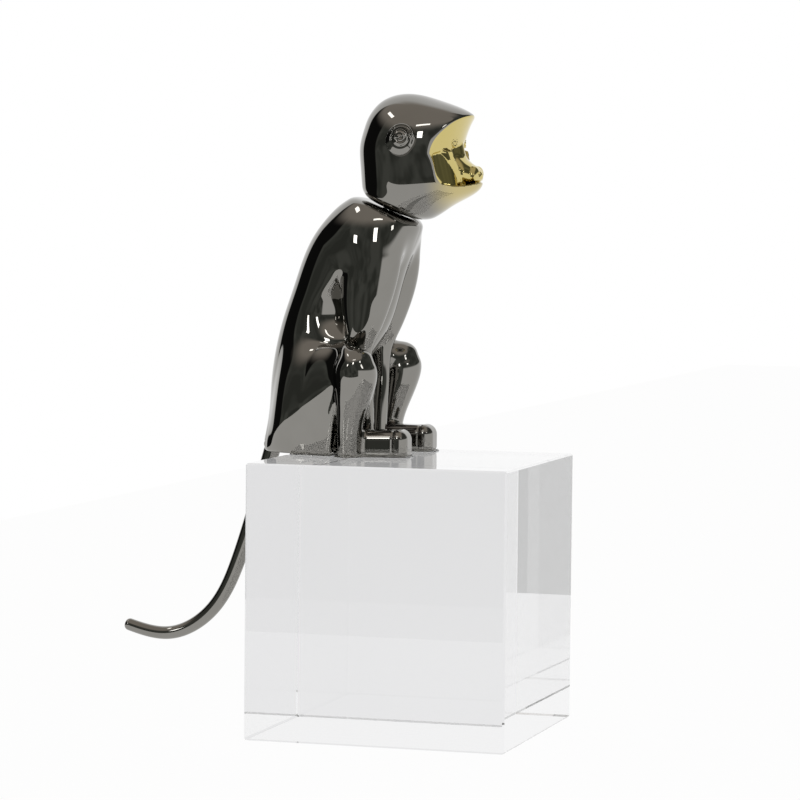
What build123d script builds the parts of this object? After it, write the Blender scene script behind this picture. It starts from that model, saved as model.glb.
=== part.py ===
"""A seated monkey, mirror-plated black with a gold face, on a clear crystal block.

Millimetres, +Z up. The origin is the middle of the block's underside. The monkey
looks along +X, its right side is towards -Y, and its tail hangs past the -X side.
"""

import os
from math import atan2, cos, radians, sin, sqrt

from build123d import *

os.makedirs("parts", exist_ok=True)

# Crystal block
block_side = 100.0
block_height = 103.2
block_bevel = 0.7

# Adhesive film, and how far it stands out round what it holds
film_thickness = 0.3
film_margin = 0.6

# Fits and cuts
pin_clearance = 0.1
pin_end_gap = 0.4
pin_end_bevel = 0.5
overrun = 60.0

# Where the figure sits: its centre plane lies behind the middle of the block,
# and its rump reaches past the block's rear edge
figure_y = 20.0
rump_overhang = 13.0
seat_z = block_height + film_thickness

# Torso
torso_height = 100.0
torso_depth = 48.0
torso_width = 44.0
torso_back_x = -block_side / 2 - rump_overhang

# Neck joint: its plane runs from the nape down to the throat
nape_depth_share = 0.740
nape_height_share = 0.995
throat_depth_share = 1.271
throat_height_share = 0.888
neck_edge_round = 1.2
neck_pin_radius = 4.0
neck_pin_length = 24.0

# Head
head_height = 51.0
head_length = 49.0
head_width = 40.0
head_overhang = 0.5
jaw_drop = 1.8

# Face: a plate turned about an upright axis inside the head
face_axis_share = 0.237
face_start_share = 0.331
face_radius = 28.0
face_height = 27.0
face_thickness = 2.0

# Muzzle
muzzle_start_share = 0.871
muzzle_rise_share = 0.441
muzzle_length = 11.6
muzzle_height = 16.0
muzzle_width = 18.0

# Ears
ear_radius = 5.2
ear_length_share = 0.449
ear_rise_share = 0.661
ear_bed_depth = 1.2
ear_tilt = 9.0
ear_lobe_radius = 4.6
ear_lobe_drop = 3.4
ear_lobe_back = 1.4
ear_height = 1.2
ear_lobe_height = 0.6
ear_ring_count = 3
ear_ring_width = 0.6
ear_ring_depth = 0.5
ear_peg_radius = 1.5
ear_peg_length = 3.0

# Eyes
eye_radius = 2.1
eye_height = 0.9
eye_bed_depth = 0.4
eye_round = 0.8
eye_turn = 14.8
eye_rise_share = 0.635
eye_reach_share = 1.02

# Arms
arm_height = 90.0
arm_depth = 22.6
arm_width = 16.0
arm_out = 14.0
arm_depth_share = 0.854
arm_pin_radius = 2.5
arm_pin_length = 12.0
arm_pin_out = 12.5
arm_pin_forward = 2.0
arm_pin_rise_share = 0.85
hand_length = 10.0
hand_width = 7.0
hand_height = 4.5
hand_round = 1.6
hand_reach = 1.6
wrist_out_share = 0.5

# Legs
thigh_start_share = 0.125
thigh_length = 37.0
thigh_height = 42.0
thigh_width = 22.0
knee_rise = 33.8
knee_out = 30.0
knee_radius = 8.2
ankle_back = 3.6
ankle_out = 26.0
ankle_depth = 9.0
ankle_width = 11.0
leg_pin_radius = 2.5
leg_pin_length = 16.0
leg_pin_out = 17.0
leg_pin_reach_share = 0.582
leg_pin_rise_share = 0.536

# Feet
foot_length = 25.6
foot_out = 17.4
foot_width = 12.2
heel_flare = 4.0
foot_height = 10.0
foot_round = 2.6
heel_back = 4.6
toe_length = 5.0
toe_rise = 0.5
toe_round = 2.2
toe_overlap = 1.2

# Tail
tail_reach = 61.0
tail_drop = 73.9
tail_root_radius = 3.4
tail_tip_radius = 2.4
tail_tip_round = 1.5
tail_spigot_radius = 2.0
tail_spigot_length = 9.0
tail_section_count = 14

# Each torso section: height, rear edge, depth and width as shares of the torso
torso_section_shares = (
    (0.000, 0.135, 0.530, 0.91),
    (0.035, 0.066, 0.622, 0.95),
    (0.095, 0.020, 0.690, 0.98),
    (0.205, 0.006, 0.712, 0.97),
    (0.305, 0.017, 0.733, 0.92),
    (0.405, 0.044, 0.830, 0.85),
    (0.515, 0.098, 0.895, 0.80),
    (0.635, 0.183, 0.885, 0.79),
    (0.755, 0.269, 0.875, 0.79),
    (0.845, 0.365, 0.848, 0.75),
    (0.920, 0.492, 0.745, 0.67),
    (0.965, 0.600, 0.600, 0.56),
    (1.000, 0.740, 0.380, 0.40),
)

# Each head section: height, rear edge, length and width as shares of the head
head_section_shares = (
    (0.000, 0.122, 0.306, 0.400),
    (0.045, 0.092, 0.447, 0.525),
    (0.090, 0.071, 0.563, 0.625),
    (0.137, 0.055, 0.645, 0.700),
    (0.184, 0.041, 0.733, 0.770),
    (0.231, 0.031, 0.851, 0.830),
    (0.275, 0.024, 0.931, 0.870),
    (0.324, 0.018, 0.967, 0.910),
    (0.382, 0.014, 0.973, 0.940),
    (0.500, 0.004, 0.976, 0.985),
    (0.618, 0.004, 0.961, 1.000),
    (0.735, 0.036, 0.912, 0.950),
    (0.820, 0.066, 0.868, 0.850),
    (0.896, 0.122, 0.692, 0.675),
    (0.951, 0.190, 0.436, 0.450),
    (0.988, 0.277, 0.215, 0.225),
    (1.000, 0.327, 0.092, 0.085),
)

# The face's front profile: height and reach as shares of face height and radius
face_profile_shares = (
    (0.00, 1.070),
    (0.12, 1.010),
    (0.35, 0.996),
    (0.60, 1.028),
    (0.80, 1.090),
    (0.97, 1.180),
    (1.10, 1.290),
)

# Each muzzle section: reach, rise, height and width as shares of the muzzle
muzzle_section_shares = (
    (0.00, 0.03, 0.94, 1.00),
    (0.38, -0.04, 0.74, 0.88),
    (0.68, -0.15, 0.50, 0.70),
    (0.90, -0.20, 0.36, 0.52),
    (1.00, -0.21, 0.24, 0.38),
)

# Each arm section: height, forward and outward shift, depth and width as shares of the arm
arm_section_shares = (
    (0.005, 0.004, -0.486, 0.248, 0.340),
    (0.106, 0.000, -0.407, 0.235, 0.325),
    (0.261, 0.000, -0.264, 0.235, 0.325),
    (0.394, -0.027, -0.086, 0.274, 0.390),
    (0.450, -0.053, -0.014, 0.380, 0.525),
    (0.506, -0.035, 0.014, 0.549, 0.675),
    (0.606, 0.013, 0.014, 0.796, 0.825),
    (0.717, 0.071, -0.029, 0.956, 0.940),
    (0.828, 0.120, -0.100, 1.000, 1.000),
    (0.917, 0.160, -0.171, 0.885, 0.875),
    (0.983, 0.190, -0.257, 0.584, 0.560),
)

# Each shank section: how far down, how far back and how much slimmer, from the knee down to the seat
shank_section_shares = (
    (0.00, 0.00, 0.08),
    (0.12, 0.04, 0.04),
    (0.30, 0.26, 0.30),
    (0.45, 0.52, 0.58),
    (0.60, 0.80, 0.82),
    (0.78, 0.97, 0.98),
    (1.00, 1.00, 1.00),
)

# Each thigh section: reach, top, bottom, outward shift and width as shares of the thigh
thigh_section_shares = (
    (0.000, 0.21, -0.15, 0.41, 0.36),
    (0.106, 0.52, -0.35, 0.46, 0.70),
    (0.238, 0.77, -0.50, 0.52, 0.90),
    (0.397, 0.94, -0.58, 0.58, 1.00),
    (0.540, 0.99, -0.58, 0.64, 1.00),
    (0.660, 1.00, -0.50, 0.70, 0.97),
    (0.755, 1.01, -0.28, 0.76, 0.92),
    (0.815, 1.02, 0.10, 0.81, 0.84),
    (0.880, 1.03, 0.54, 0.89, 0.80),
)
# How far each section of the knee's rounded front lies from its centre
knee_round_shares = (0.0, 0.4, 0.7, 0.9, 0.98)

# The tail's line from its start inside the rump, through its root, as shares of its reach and drop
tail_point_shares = (
    (-0.092, -0.250),
    (-0.007, -0.028),
    (0.231, 0.602),
    (0.398, 0.859),
    (0.689, 1.000),
    (1.000, 0.959),
)

# Places worked out from the sizes, each piece from the one that carries it
nape_x = torso_back_x + nape_depth_share * torso_depth
nape_z = seat_z + nape_height_share * torso_height
throat_x = torso_back_x + throat_depth_share * torso_depth
throat_z = seat_z + throat_height_share * torso_height
head_back_x = nape_x - head_overhang
head_bottom_z = throat_z - jaw_drop
face_axis_x = head_back_x + face_axis_share * head_length
face_bottom_z = head_bottom_z + face_start_share * head_height
muzzle_start_x = face_axis_x + muzzle_start_share * face_radius
muzzle_z = head_bottom_z + muzzle_rise_share * head_height
ear_x = head_back_x + ear_length_share * head_length
ear_z = head_bottom_z + ear_rise_share * head_height
eye_z = head_bottom_z + eye_rise_share * head_height
arm_x = torso_back_x + arm_depth_share * torso_depth
arm_pin_x = arm_x + arm_pin_forward
arm_pin_z = seat_z + arm_pin_rise_share * arm_height
thigh_rear_x = torso_back_x + thigh_start_share * torso_depth
knee_x = thigh_rear_x + thigh_length
knee_z = seat_z + knee_rise
leg_pin_x = thigh_rear_x + leg_pin_reach_share * thigh_length
leg_pin_z = seat_z + leg_pin_rise_share * thigh_height
ankle_x = knee_x - ankle_back
foot_heel_x = ankle_x - heel_back

neck_tilt = atan2(nape_z - throat_z, throat_x - nape_x)
neck_plane = Plane(
    origin=((nape_x + throat_x) / 2, figure_y, (nape_z + throat_z) / 2),
    x_dir=(cos(neck_tilt), 0, -sin(neck_tilt)),
    z_dir=(sin(neck_tilt), 0, cos(neck_tilt)),
)
centre_plane = Plane(origin=(0, figure_y, 0), x_dir=(1, 0, 0), z_dir=(0, -1, 0))
seat_plane = Plane.XY.offset(seat_z)


def ellipse_stack(sections):
    """Loft level ellipses, each given as its centre and its two half-widths."""
    with BuildPart() as stack:
        for x, y, z, half_depth, half_width in sections:
            with BuildSketch(Plane(origin=(x, y, z))):
                Ellipse(half_depth, half_width)
        loft()
    return stack.part


def mix(start, end, share):
    """The value a share of the way from start to end."""
    return start + (end - start) * share


def torso_sections():
    """The torso's level ellipses, from the seat to the neck."""
    for height, rear, depth, width in torso_section_shares:
        half_depth = depth * torso_depth / 2
        x = torso_back_x + rear * torso_depth + half_depth
        z = seat_z + height * torso_height
        yield x, figure_y, z, half_depth, width * torso_width / 2


def head_sections():
    """The head's level ellipses, from the jaw to the crown."""
    for height, rear, length, width in head_section_shares:
        half_length = length * head_length / 2
        x = head_back_x + rear * head_length + half_length
        z = head_bottom_z + height * head_height
        yield x, figure_y, z, half_length, width * head_width / 2


def arm_sections():
    """The right arm's level ellipses, from the wrist to the shoulder."""
    for height, forward, outward, depth, width in arm_section_shares:
        x = arm_x + forward * arm_depth
        y = figure_y - arm_out * (1 + outward)
        z = seat_z + height * arm_height
        yield x, y, z, depth * arm_depth / 2, width * arm_width / 2


def face_region(inset):
    """All that lies in front of the face's profile, set back by the inset."""
    points = []
    for height, reach in face_profile_shares:
        points.append((reach * face_radius - inset, face_bottom_z + height * face_height))
    shelf_z = face_bottom_z - inset
    points[0] = (points[0][0], shelf_z)
    top_z = points[-1][1]
    with BuildPart() as region:
        with BuildSketch(Plane(origin=(face_axis_x, figure_y, 0), x_dir=(1, 0, 0), z_dir=(0, -1, 0))):
            with BuildLine():
                Spline(*points)
                Polyline(
                    points[-1],
                    (face_radius + overrun, top_z),
                    (face_radius + overrun, shelf_z),
                    points[0],
                )
            make_face()
        revolve(axis=Axis((face_axis_x, figure_y, 0), (0, 0, 1)))
    return region.part


def pin_hole(plane, radius, length):
    """The blind space round a pin that is centred on the plane."""
    with BuildPart() as hole:
        with BuildSketch(plane):
            Circle(radius + pin_clearance)
        extrude(amount=length / 2 + pin_end_gap, both=True)
    return hole.part


def pin(plane, radius, length):
    """A round pin, centred on the plane, with its ends rounded off."""
    with BuildPart() as rod:
        with BuildSketch(plane):
            Circle(radius)
        extrude(amount=length / 2, both=True)
        chamfer(rod.edges().filter_by(GeomType.CIRCLE), length=pin_end_bevel)
    return rod.part


def mirrored(piece):
    """The same piece on the figure's left side."""
    return mirror(piece, about=centre_plane)


def finish(piece, name):
    """Label the piece and write its file."""
    piece.label = name
    export_step(piece, f"parts/{name}.step")
    print(name, len(piece.solids()), round(piece.volume, 1), piece.is_valid)


# Planes that the pins, ears and eyes are centred on
arm_pin_plane = Plane(
    origin=(arm_pin_x, figure_y - arm_pin_out, arm_pin_z), x_dir=(1, 0, 0), z_dir=(0, -1, 0)
)
leg_pin_plane = Plane(
    origin=(leg_pin_x, figure_y - leg_pin_out, leg_pin_z), x_dir=(1, 0, 0), z_dir=(0, -1, 0)
)
ear_plane = Plane(
    origin=(ear_x, figure_y - head_width / 2, ear_z),
    x_dir=(1, 0, 0),
    z_dir=(0, -cos(radians(ear_tilt)), sin(radians(ear_tilt))),
)
eye_direction = Vector(cos(radians(eye_turn)), -sin(radians(eye_turn)), 0)
eye_plane = Plane(
    origin=Vector(face_axis_x, figure_y, eye_z) + eye_direction * face_radius * eye_reach_share,
    x_dir=(0, 0, 1),
    z_dir=eye_direction,
)

# Crystal block
with BuildPart() as crystal_block:
    with BuildSketch():
        Rectangle(block_side, block_side)
    extrude(amount=block_height)
    chamfer(crystal_block.edges(), length=block_bevel)

# Tail: a tapered rod whose centre line hangs in the figure's centre plane
tail_points = []
for reach, drop in tail_point_shares:
    tail_points.append(
        Vector(torso_back_x - reach * tail_reach, figure_y, seat_z - drop * tail_drop)
    )
with BuildLine() as tail_line:
    tail_path = Spline(*tail_points)
tail_root_plane = Plane(
    origin=tail_points[1], x_dir=(0, 1, 0), z_dir=(tail_points[1] - tail_points[0]).normalized()
)
with BuildPart() as tail_form:
    for index in range(tail_section_count):
        along = index / (tail_section_count - 1)
        with BuildSketch(Plane(origin=tail_path @ along, x_dir=(0, 1, 0), z_dir=tail_path % along)):
            Circle(mix(tail_root_radius, tail_tip_radius, along))
    loft()
    fillet(tail_form.faces().sort_by(Axis.X)[0].edges(), radius=tail_tip_round)

# The uncut forms that the pieces are seated against
torso_form = ellipse_stack(torso_sections())
head_form = ellipse_stack(head_sections())
face_front = face_region(0)
face_pocket = face_region(face_thickness)
neck_hole = pin_hole(neck_plane, neck_pin_radius, neck_pin_length)
arm_hole = pin_hole(arm_pin_plane, arm_pin_radius, arm_pin_length)
leg_hole = pin_hole(leg_pin_plane, leg_pin_radius, leg_pin_length)
tail_hole = pin_hole(tail_root_plane, tail_spigot_radius, 2 * tail_spigot_length)

# Torso, with a socket for every pin and for the tail's spigot
with BuildPart() as torso:
    add(torso_form)
    split(bisect_by=neck_plane, keep=Keep.BOTTOM)
    fillet(torso.faces().filter_by(neck_plane).edges(), radius=neck_edge_round)
    add(neck_hole, mode=Mode.SUBTRACT)
    add([arm_hole, mirrored(arm_hole)], mode=Mode.SUBTRACT)
    add([leg_hole, mirrored(leg_hole)], mode=Mode.SUBTRACT)
    add(tail_hole, mode=Mode.SUBTRACT)

with BuildPart() as tail:
    add(tail_form.part)
    add(torso_form, mode=Mode.SUBTRACT)
    with BuildSketch(tail_root_plane):
        Circle(tail_spigot_radius)
    extrude(amount=tail_spigot_length, both=True)

# Right leg: thigh and knee, shank, and a foot with its toe cap
with BuildPart() as leg_form:
    for reach, top, bottom, outward, width in thigh_section_shares:
        half_height = (top - bottom) * thigh_height / 2
        with BuildSketch(
            Plane(
                origin=(
                    mix(thigh_rear_x, knee_x, reach),
                    figure_y - knee_out * outward,
                    seat_z + bottom * thigh_height + half_height,
                ),
                x_dir=(0, 1, 0),
                z_dir=(1, 0, 0),
            )
        ):
            Ellipse(width * thigh_width / 2, half_height)
    for reach in knee_round_shares:
        with BuildSketch(
            Plane(
                origin=(knee_x + reach * knee_radius, figure_y - knee_out, knee_z),
                x_dir=(0, 1, 0),
                z_dir=(1, 0, 0),
            )
        ):
            Circle(knee_radius * sqrt(1 - reach**2))
    loft()
    for drop, back, change in shank_section_shares:
        with BuildSketch(
            Plane(
                origin=(
                    mix(knee_x, ankle_x, back),
                    figure_y - mix(knee_out, ankle_out, drop),
                    mix(knee_z, seat_z, drop),
                )
            )
        ):
            Ellipse(
                mix(knee_radius, ankle_depth / 2, change), mix(knee_radius, ankle_width / 2, change)
            )
    loft()
    split(bisect_by=seat_plane, keep=Keep.TOP)

with BuildPart() as foot_form:
    with BuildSketch(Plane(origin=(foot_heel_x, figure_y - foot_out, seat_z))) as foot_outline:
        Polygon(
            (0, foot_width / 2),
            (0, -foot_width / 2 - heel_flare),
            (foot_length - toe_length, -foot_width / 2),
            (foot_length - toe_length, foot_width / 2),
            align=None,
        )
        fillet(foot_outline.vertices(), radius=foot_round)
    extrude(amount=foot_height)
    fillet(foot_form.faces().sort_by(Axis.Z)[-1].edges(), radius=foot_round)

with BuildPart() as toe_form:
    with BuildSketch(
        Plane(origin=(foot_heel_x + foot_length - toe_length - toe_overlap, figure_y - foot_out, seat_z))
    ):
        RectangleRounded(
            toe_length + toe_overlap, foot_width, toe_round, align=(Align.MIN, Align.CENTER)
        )
    extrude(amount=foot_height + toe_rise)
    fillet(toe_form.faces().sort_by(Axis.Z)[-1].edges(), radius=toe_round)

with BuildPart() as right_leg:
    add(leg_form.part)
    add(foot_form.part)
    add(toe_form.part)
    add(torso_form, mode=Mode.SUBTRACT)
    add(leg_hole, mode=Mode.SUBTRACT)

# Right arm: one tapering stack from the wrist to the shoulder, on a flat hand
with BuildPart() as hand_form:
    with BuildSketch(
        Plane(origin=(arm_x + hand_reach, figure_y - arm_out * wrist_out_share, seat_z))
    ):
        RectangleRounded(hand_length, hand_width, hand_round)
    extrude(amount=hand_height)
    fillet(hand_form.faces().sort_by(Axis.Z)[-1].edges(), radius=hand_round)

with BuildPart() as right_arm:
    add(ellipse_stack(arm_sections()))
    split(bisect_by=neck_plane, keep=Keep.BOTTOM)
    add(hand_form.part)
    add(torso_form, mode=Mode.SUBTRACT)
    add(leg_form.part, mode=Mode.SUBTRACT)
    add(arm_hole, mode=Mode.SUBTRACT)

# Head, scooped out for the face and bedded for the ears
with BuildPart() as ear_outline:
    with BuildSketch(ear_plane.offset(-ear_bed_depth)):
        Circle(ear_radius + pin_clearance)
        with Locations((-ear_lobe_back, -ear_lobe_drop)):
            Circle(ear_lobe_radius + pin_clearance)
    extrude(amount=overrun)
    with BuildSketch(ear_plane.offset(-ear_bed_depth)):
        Circle(ear_peg_radius + pin_clearance)
    extrude(amount=-ear_peg_length - pin_end_gap)
ear_bed = ear_outline.part

with BuildPart() as head:
    add(head_form)
    split(bisect_by=neck_plane, keep=Keep.TOP)
    fillet(head.faces().filter_by(neck_plane).edges(), radius=neck_edge_round)
    add(face_pocket, mode=Mode.SUBTRACT)
    add(neck_hole, mode=Mode.SUBTRACT)
    add([ear_bed, mirrored(ear_bed)], mode=Mode.SUBTRACT)

# Ear: a lobed plate under concentric rings, with a peg behind
with BuildPart() as right_ear:
    with BuildSketch(ear_plane.offset(-ear_bed_depth)):
        Circle(ear_radius)
        with Locations((-ear_lobe_back, -ear_lobe_drop)):
            Circle(ear_lobe_radius)
    extrude(amount=ear_bed_depth + ear_lobe_height)
    with BuildSketch(ear_plane.offset(-ear_bed_depth)):
        Circle(ear_radius)
    extrude(amount=ear_bed_depth + ear_height)
    for ring in range(ear_ring_count):
        ring_radius = ear_radius * (ring + 1) / (ear_ring_count + 1)
        with BuildSketch(ear_plane.offset(ear_height)):
            Circle(ring_radius + ear_ring_width / 2)
            Circle(ring_radius - ear_ring_width / 2, mode=Mode.SUBTRACT)
        extrude(amount=-ear_ring_depth, mode=Mode.SUBTRACT)
    with BuildSketch(ear_plane.offset(-ear_bed_depth)):
        Circle(ear_peg_radius)
    extrude(amount=-ear_peg_length)

# Face: a curved plate with the muzzle on it and a bed for each eye
with BuildPart() as muzzle_form:
    for reach, rise, height, width in muzzle_section_shares:
        with BuildSketch(
            Plane(
                origin=(muzzle_start_x + reach * muzzle_length, figure_y, muzzle_z + rise * muzzle_height),
                x_dir=(0, 1, 0),
                z_dir=(1, 0, 0),
            )
        ):
            Ellipse(width * muzzle_width / 2, height * muzzle_height / 2)
    loft()
    add(face_pocket, mode=Mode.INTERSECT)

with BuildPart() as eye_bed_form:
    with BuildSketch(eye_plane.offset(-eye_bed_depth)):
        Circle(eye_radius + pin_clearance)
    extrude(amount=overrun)
eye_bed = eye_bed_form.part

with BuildPart() as face:
    add(head_form)
    add(face_pocket, mode=Mode.INTERSECT)
    add(face_front, mode=Mode.SUBTRACT)
    add(muzzle_form.part)
    add([eye_bed, mirrored(eye_bed)], mode=Mode.SUBTRACT)

# Eye: a low dome that sits in its bed
with BuildPart() as right_eye:
    with BuildSketch(eye_plane.offset(-eye_bed_depth)):
        Circle(eye_radius)
    extrude(amount=eye_bed_depth + eye_height)
    fillet(right_eye.faces().sort_by(Axis.X)[-1].edges(), radius=eye_round)

# Adhesive: a film under all that touches the block, squeezed out a little round it
def contact_faces(piece):
    """The piece's flat faces on the seat plane, brought down to the origin's height."""
    seat_faces = piece.faces().filter_by(Plane.XY).group_by(Axis.Z)[0]
    return [seat_face.moved(Location((0, 0, -seat_z))) for seat_face in seat_faces]


seat_x, seat_y, _, seat_half_depth, seat_half_width = next(torso_sections())
with BuildPart() as seat_glue:
    with BuildSketch(Plane.XY.offset(block_height)):
        with Locations((seat_x, seat_y)):
            Ellipse(seat_half_depth + film_margin, seat_half_width + film_margin)
        add(contact_faces(right_leg.part))
        with Locations((foot_heel_x + foot_length / 2, figure_y - foot_out)):
            RectangleRounded(
                foot_length + 2 * film_margin, foot_width + 2 * film_margin, foot_round + film_margin
            )
        mirror(about=centre_plane)
        Rectangle(block_side - 2 * block_bevel, block_side - 2 * block_bevel, mode=Mode.INTERSECT)
    extrude(amount=film_thickness)

with BuildPart() as hand_glue:
    with BuildSketch(Plane.XY.offset(block_height)):
        with Locations((arm_x + hand_reach, figure_y - arm_out * wrist_out_share)):
            RectangleRounded(
                hand_length + 2 * film_margin, hand_width + 2 * film_margin, hand_round + film_margin
            )
        mirror(about=centre_plane)
    extrude(amount=film_thickness)
    add(seat_glue.part, mode=Mode.SUBTRACT)

with BuildPart() as arm_dowels:
    dowel = pin(arm_pin_plane, arm_pin_radius, arm_pin_length)
    add([dowel, mirrored(dowel)])
with BuildPart() as leg_dowels:
    dowel = pin(leg_pin_plane, leg_pin_radius, leg_pin_length)
    add([dowel, mirrored(dowel)])

finish(crystal_block.part, "crystal_block")
finish(seat_glue.part, "seat_glue")
finish(hand_glue.part, "hand_glue")
finish(torso.part, "torso")
finish(head.part, "head")
finish(face.part, "face")
finish(right_ear.part, "right_ear")
finish(mirrored(right_ear.part), "left_ear")
finish(right_eye.part, "right_eye")
finish(mirrored(right_eye.part), "left_eye")
finish(right_arm.part, "right_arm")
finish(mirrored(right_arm.part), "left_arm")
finish(right_leg.part, "right_leg")
finish(mirrored(right_leg.part), "left_leg")
finish(tail.part, "tail")
finish(pin(neck_plane, neck_pin_radius, neck_pin_length), "neck_dowel")
finish(arm_dowels.part, "arm_dowels")
finish(leg_dowels.part, "leg_dowels")
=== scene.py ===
"""A seated monkey, mirror-plated black with a gold face, on a clear crystal block.

Metres in the scene, millimetres in the shapes' own sizes. The frame is the CAD's: origin in the
middle of the block's underside, +Z up, the monkey looks along +X and its right side is towards -Y.
"""

import bpy
import numpy as np
from mathutils import Matrix, Vector


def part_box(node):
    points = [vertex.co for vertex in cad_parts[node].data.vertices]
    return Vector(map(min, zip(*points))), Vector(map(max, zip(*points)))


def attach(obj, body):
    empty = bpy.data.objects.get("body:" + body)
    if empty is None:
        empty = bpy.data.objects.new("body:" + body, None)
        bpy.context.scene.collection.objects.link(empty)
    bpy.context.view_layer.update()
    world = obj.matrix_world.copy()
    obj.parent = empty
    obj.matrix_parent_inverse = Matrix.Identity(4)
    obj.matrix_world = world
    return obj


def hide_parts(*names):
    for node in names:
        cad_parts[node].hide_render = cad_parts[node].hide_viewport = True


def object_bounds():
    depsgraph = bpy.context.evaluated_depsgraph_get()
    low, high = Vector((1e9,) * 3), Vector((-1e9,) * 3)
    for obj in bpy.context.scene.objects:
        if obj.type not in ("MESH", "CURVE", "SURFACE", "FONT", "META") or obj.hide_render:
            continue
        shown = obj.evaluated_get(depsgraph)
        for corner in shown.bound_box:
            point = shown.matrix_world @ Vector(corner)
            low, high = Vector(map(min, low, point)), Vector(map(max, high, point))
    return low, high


bl_info = {
    "name": "Monkey figurine looks",
    "version": (1, 0, 0),
    "blender": (4, 5, 0),
    "location": "View3D > Sidebar > Figurine",
    "description": "Plated skins, gold face, ears, eyes, tail, crystal and studio of a monkey figurine",
    "category": "Object",
}

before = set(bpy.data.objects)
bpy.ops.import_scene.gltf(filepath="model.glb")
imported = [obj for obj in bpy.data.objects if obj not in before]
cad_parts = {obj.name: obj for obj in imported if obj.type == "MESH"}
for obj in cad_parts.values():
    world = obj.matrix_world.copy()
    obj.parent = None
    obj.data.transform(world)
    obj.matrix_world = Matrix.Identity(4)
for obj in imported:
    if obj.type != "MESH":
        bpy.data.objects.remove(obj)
cad_low, cad_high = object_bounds()

MM = 0.001


def node_box(name):
    """A CAD node's lowest and highest corner in millimetres."""
    low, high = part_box(name)
    return np.array(low) / MM, np.array(high) / MM


block_low, block_high = node_box("crystal_block")
torso_low, torso_high = node_box("torso")

# The figure's place, from the frame
BLOCK_SIDE = block_high[0] - block_low[0]
BLOCK_TOP = block_high[2]
SEAT_Z = torso_low[2]
FIGURE_Y = (torso_low[1] + torso_high[1]) / 2

# Sizes in millimetres that the solids were made to
RUMP_OVERHANG = 13.0
TORSO_HEIGHT = 100.0
TORSO_DEPTH = 48.0
TORSO_WIDTH = 44.0
TORSO_BACK_X = -BLOCK_SIDE / 2 - RUMP_OVERHANG
NAPE_X = TORSO_BACK_X + 0.740 * TORSO_DEPTH
NAPE_Z = SEAT_Z + 0.995 * TORSO_HEIGHT
THROAT_X = TORSO_BACK_X + 1.271 * TORSO_DEPTH
THROAT_Z = SEAT_Z + 0.888 * TORSO_HEIGHT
HEAD_HEIGHT = 51.0
HEAD_LENGTH = 49.0
HEAD_WIDTH = 40.0
HEAD_BACK_X = NAPE_X - 0.5
HEAD_BOTTOM_Z = THROAT_Z - 1.8
FACE_AXIS_X = HEAD_BACK_X + 0.237 * HEAD_LENGTH
FACE_RADIUS = 28.0
FACE_BOTTOM_Z = HEAD_BOTTOM_Z + 0.331 * HEAD_HEIGHT
FACE_HEIGHT = 27.0
MUZZLE_START_X = FACE_AXIS_X + 0.871 * FACE_RADIUS
MUZZLE_Z = HEAD_BOTTOM_Z + 0.441 * HEAD_HEIGHT
MUZZLE_LENGTH = 11.6
MUZZLE_HEIGHT = 16.0
MUZZLE_WIDTH = 18.0
ARM_HEIGHT = 90.0
ARM_DEPTH = 22.6
ARM_WIDTH = 16.0
ARM_OUT = 14.0
ARM_X = TORSO_BACK_X + 0.854 * TORSO_DEPTH
HAND_LENGTH = 10.0
HAND_WIDTH = 7.0
HAND_HEIGHT = 4.5
HAND_REACH = 1.6
HAND_OUT = 7.0
HAND_ROUND = 1.6
THIGH_REAR_X = TORSO_BACK_X + 0.125 * TORSO_DEPTH
THIGH_LENGTH = 37.0
THIGH_HEIGHT = 42.0
THIGH_WIDTH = 22.0
KNEE_X = THIGH_REAR_X + THIGH_LENGTH
KNEE_Z = SEAT_Z + 33.8
KNEE_OUT = 30.0
KNEE_RADIUS = 8.2
ANKLE_X = KNEE_X - 3.6
ANKLE_OUT = 26.0
ANKLE_DEPTH = 9.0
ANKLE_WIDTH = 11.0
HEEL_X = ANKLE_X - 4.6
HEEL_FLARE = 4.0
FOOT_LENGTH = 25.6
FOOT_OUT = 17.4
FOOT_WIDTH = 12.2
FOOT_HEIGHT = 10.0
TOE_LENGTH = 5.0
TAIL_REACH = 61.0
TAIL_DROP = 73.9
TAIL_ROOT_RADIUS = 3.4
TAIL_TIP_RADIUS = 2.4
EAR_X = HEAD_BACK_X + 0.449 * HEAD_LENGTH
EAR_Z = HEAD_BOTTOM_Z + 0.661 * HEAD_HEIGHT
EAR_TILT = 9.0
EYE_Z = HEAD_BOTTOM_Z + 0.635 * HEAD_HEIGHT
EYE_TURN = 14.8
EYE_RADIUS = 2.1
EYE_REACH = 1.02 * FACE_RADIUS

# Forms that only the skins have, in millimetres. Pairs of places say where a change starts and ends.
# The hollow in the flank behind the arm: its place, lean, depth and spread, and where it fades
FLANK_X = ARM_X - 7.7
FLANK_Z = SEAT_Z + 0.58 * ARM_HEIGHT
FLANK_LEAN = -0.05
FLANK_DEPTH = 7.5
FLANK_SPREAD = 7.8
FLANK_FOOT = (FLANK_Z - 10.0, FLANK_Z + 2.0)
FLANK_TOP = (FLANK_Z + 7.0, FLANK_Z + 19.0)
FLANK_TAPER = (FLANK_Z, FLANK_Z + 17.0)
FLANK_NARROWING = 0.6
FLANK_OUT = (4.0, 12.0)

# The crease under the thigh: a point on its line, the line's rise, and how the haunch tucks in below it
HAUNCH_X = -47.2
HAUNCH_Z = SEAT_Z + 14.0
HAUNCH_RISE = 0.742
HAUNCH_TUCK = 0.22
HAUNCH_SOFTNESS = 2.0
HAUNCH_OUT = (14.0, 24.0)
CREASE_DEPTH = 2.2
CREASE_REACH = 4.0

# Edges that are rounder in the skins, and half of how far hand and foot go on below the seat, where
# the cut along the sole takes them off
NECK_ROUND = 3.4
FOOT_ROUND = 3.8
SOLE_ROUND = 1.6
TAIL_TIP_ROUND = 1.9
PALM_SUNK = 1.0
SOLE_SUNK = 2.0

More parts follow.
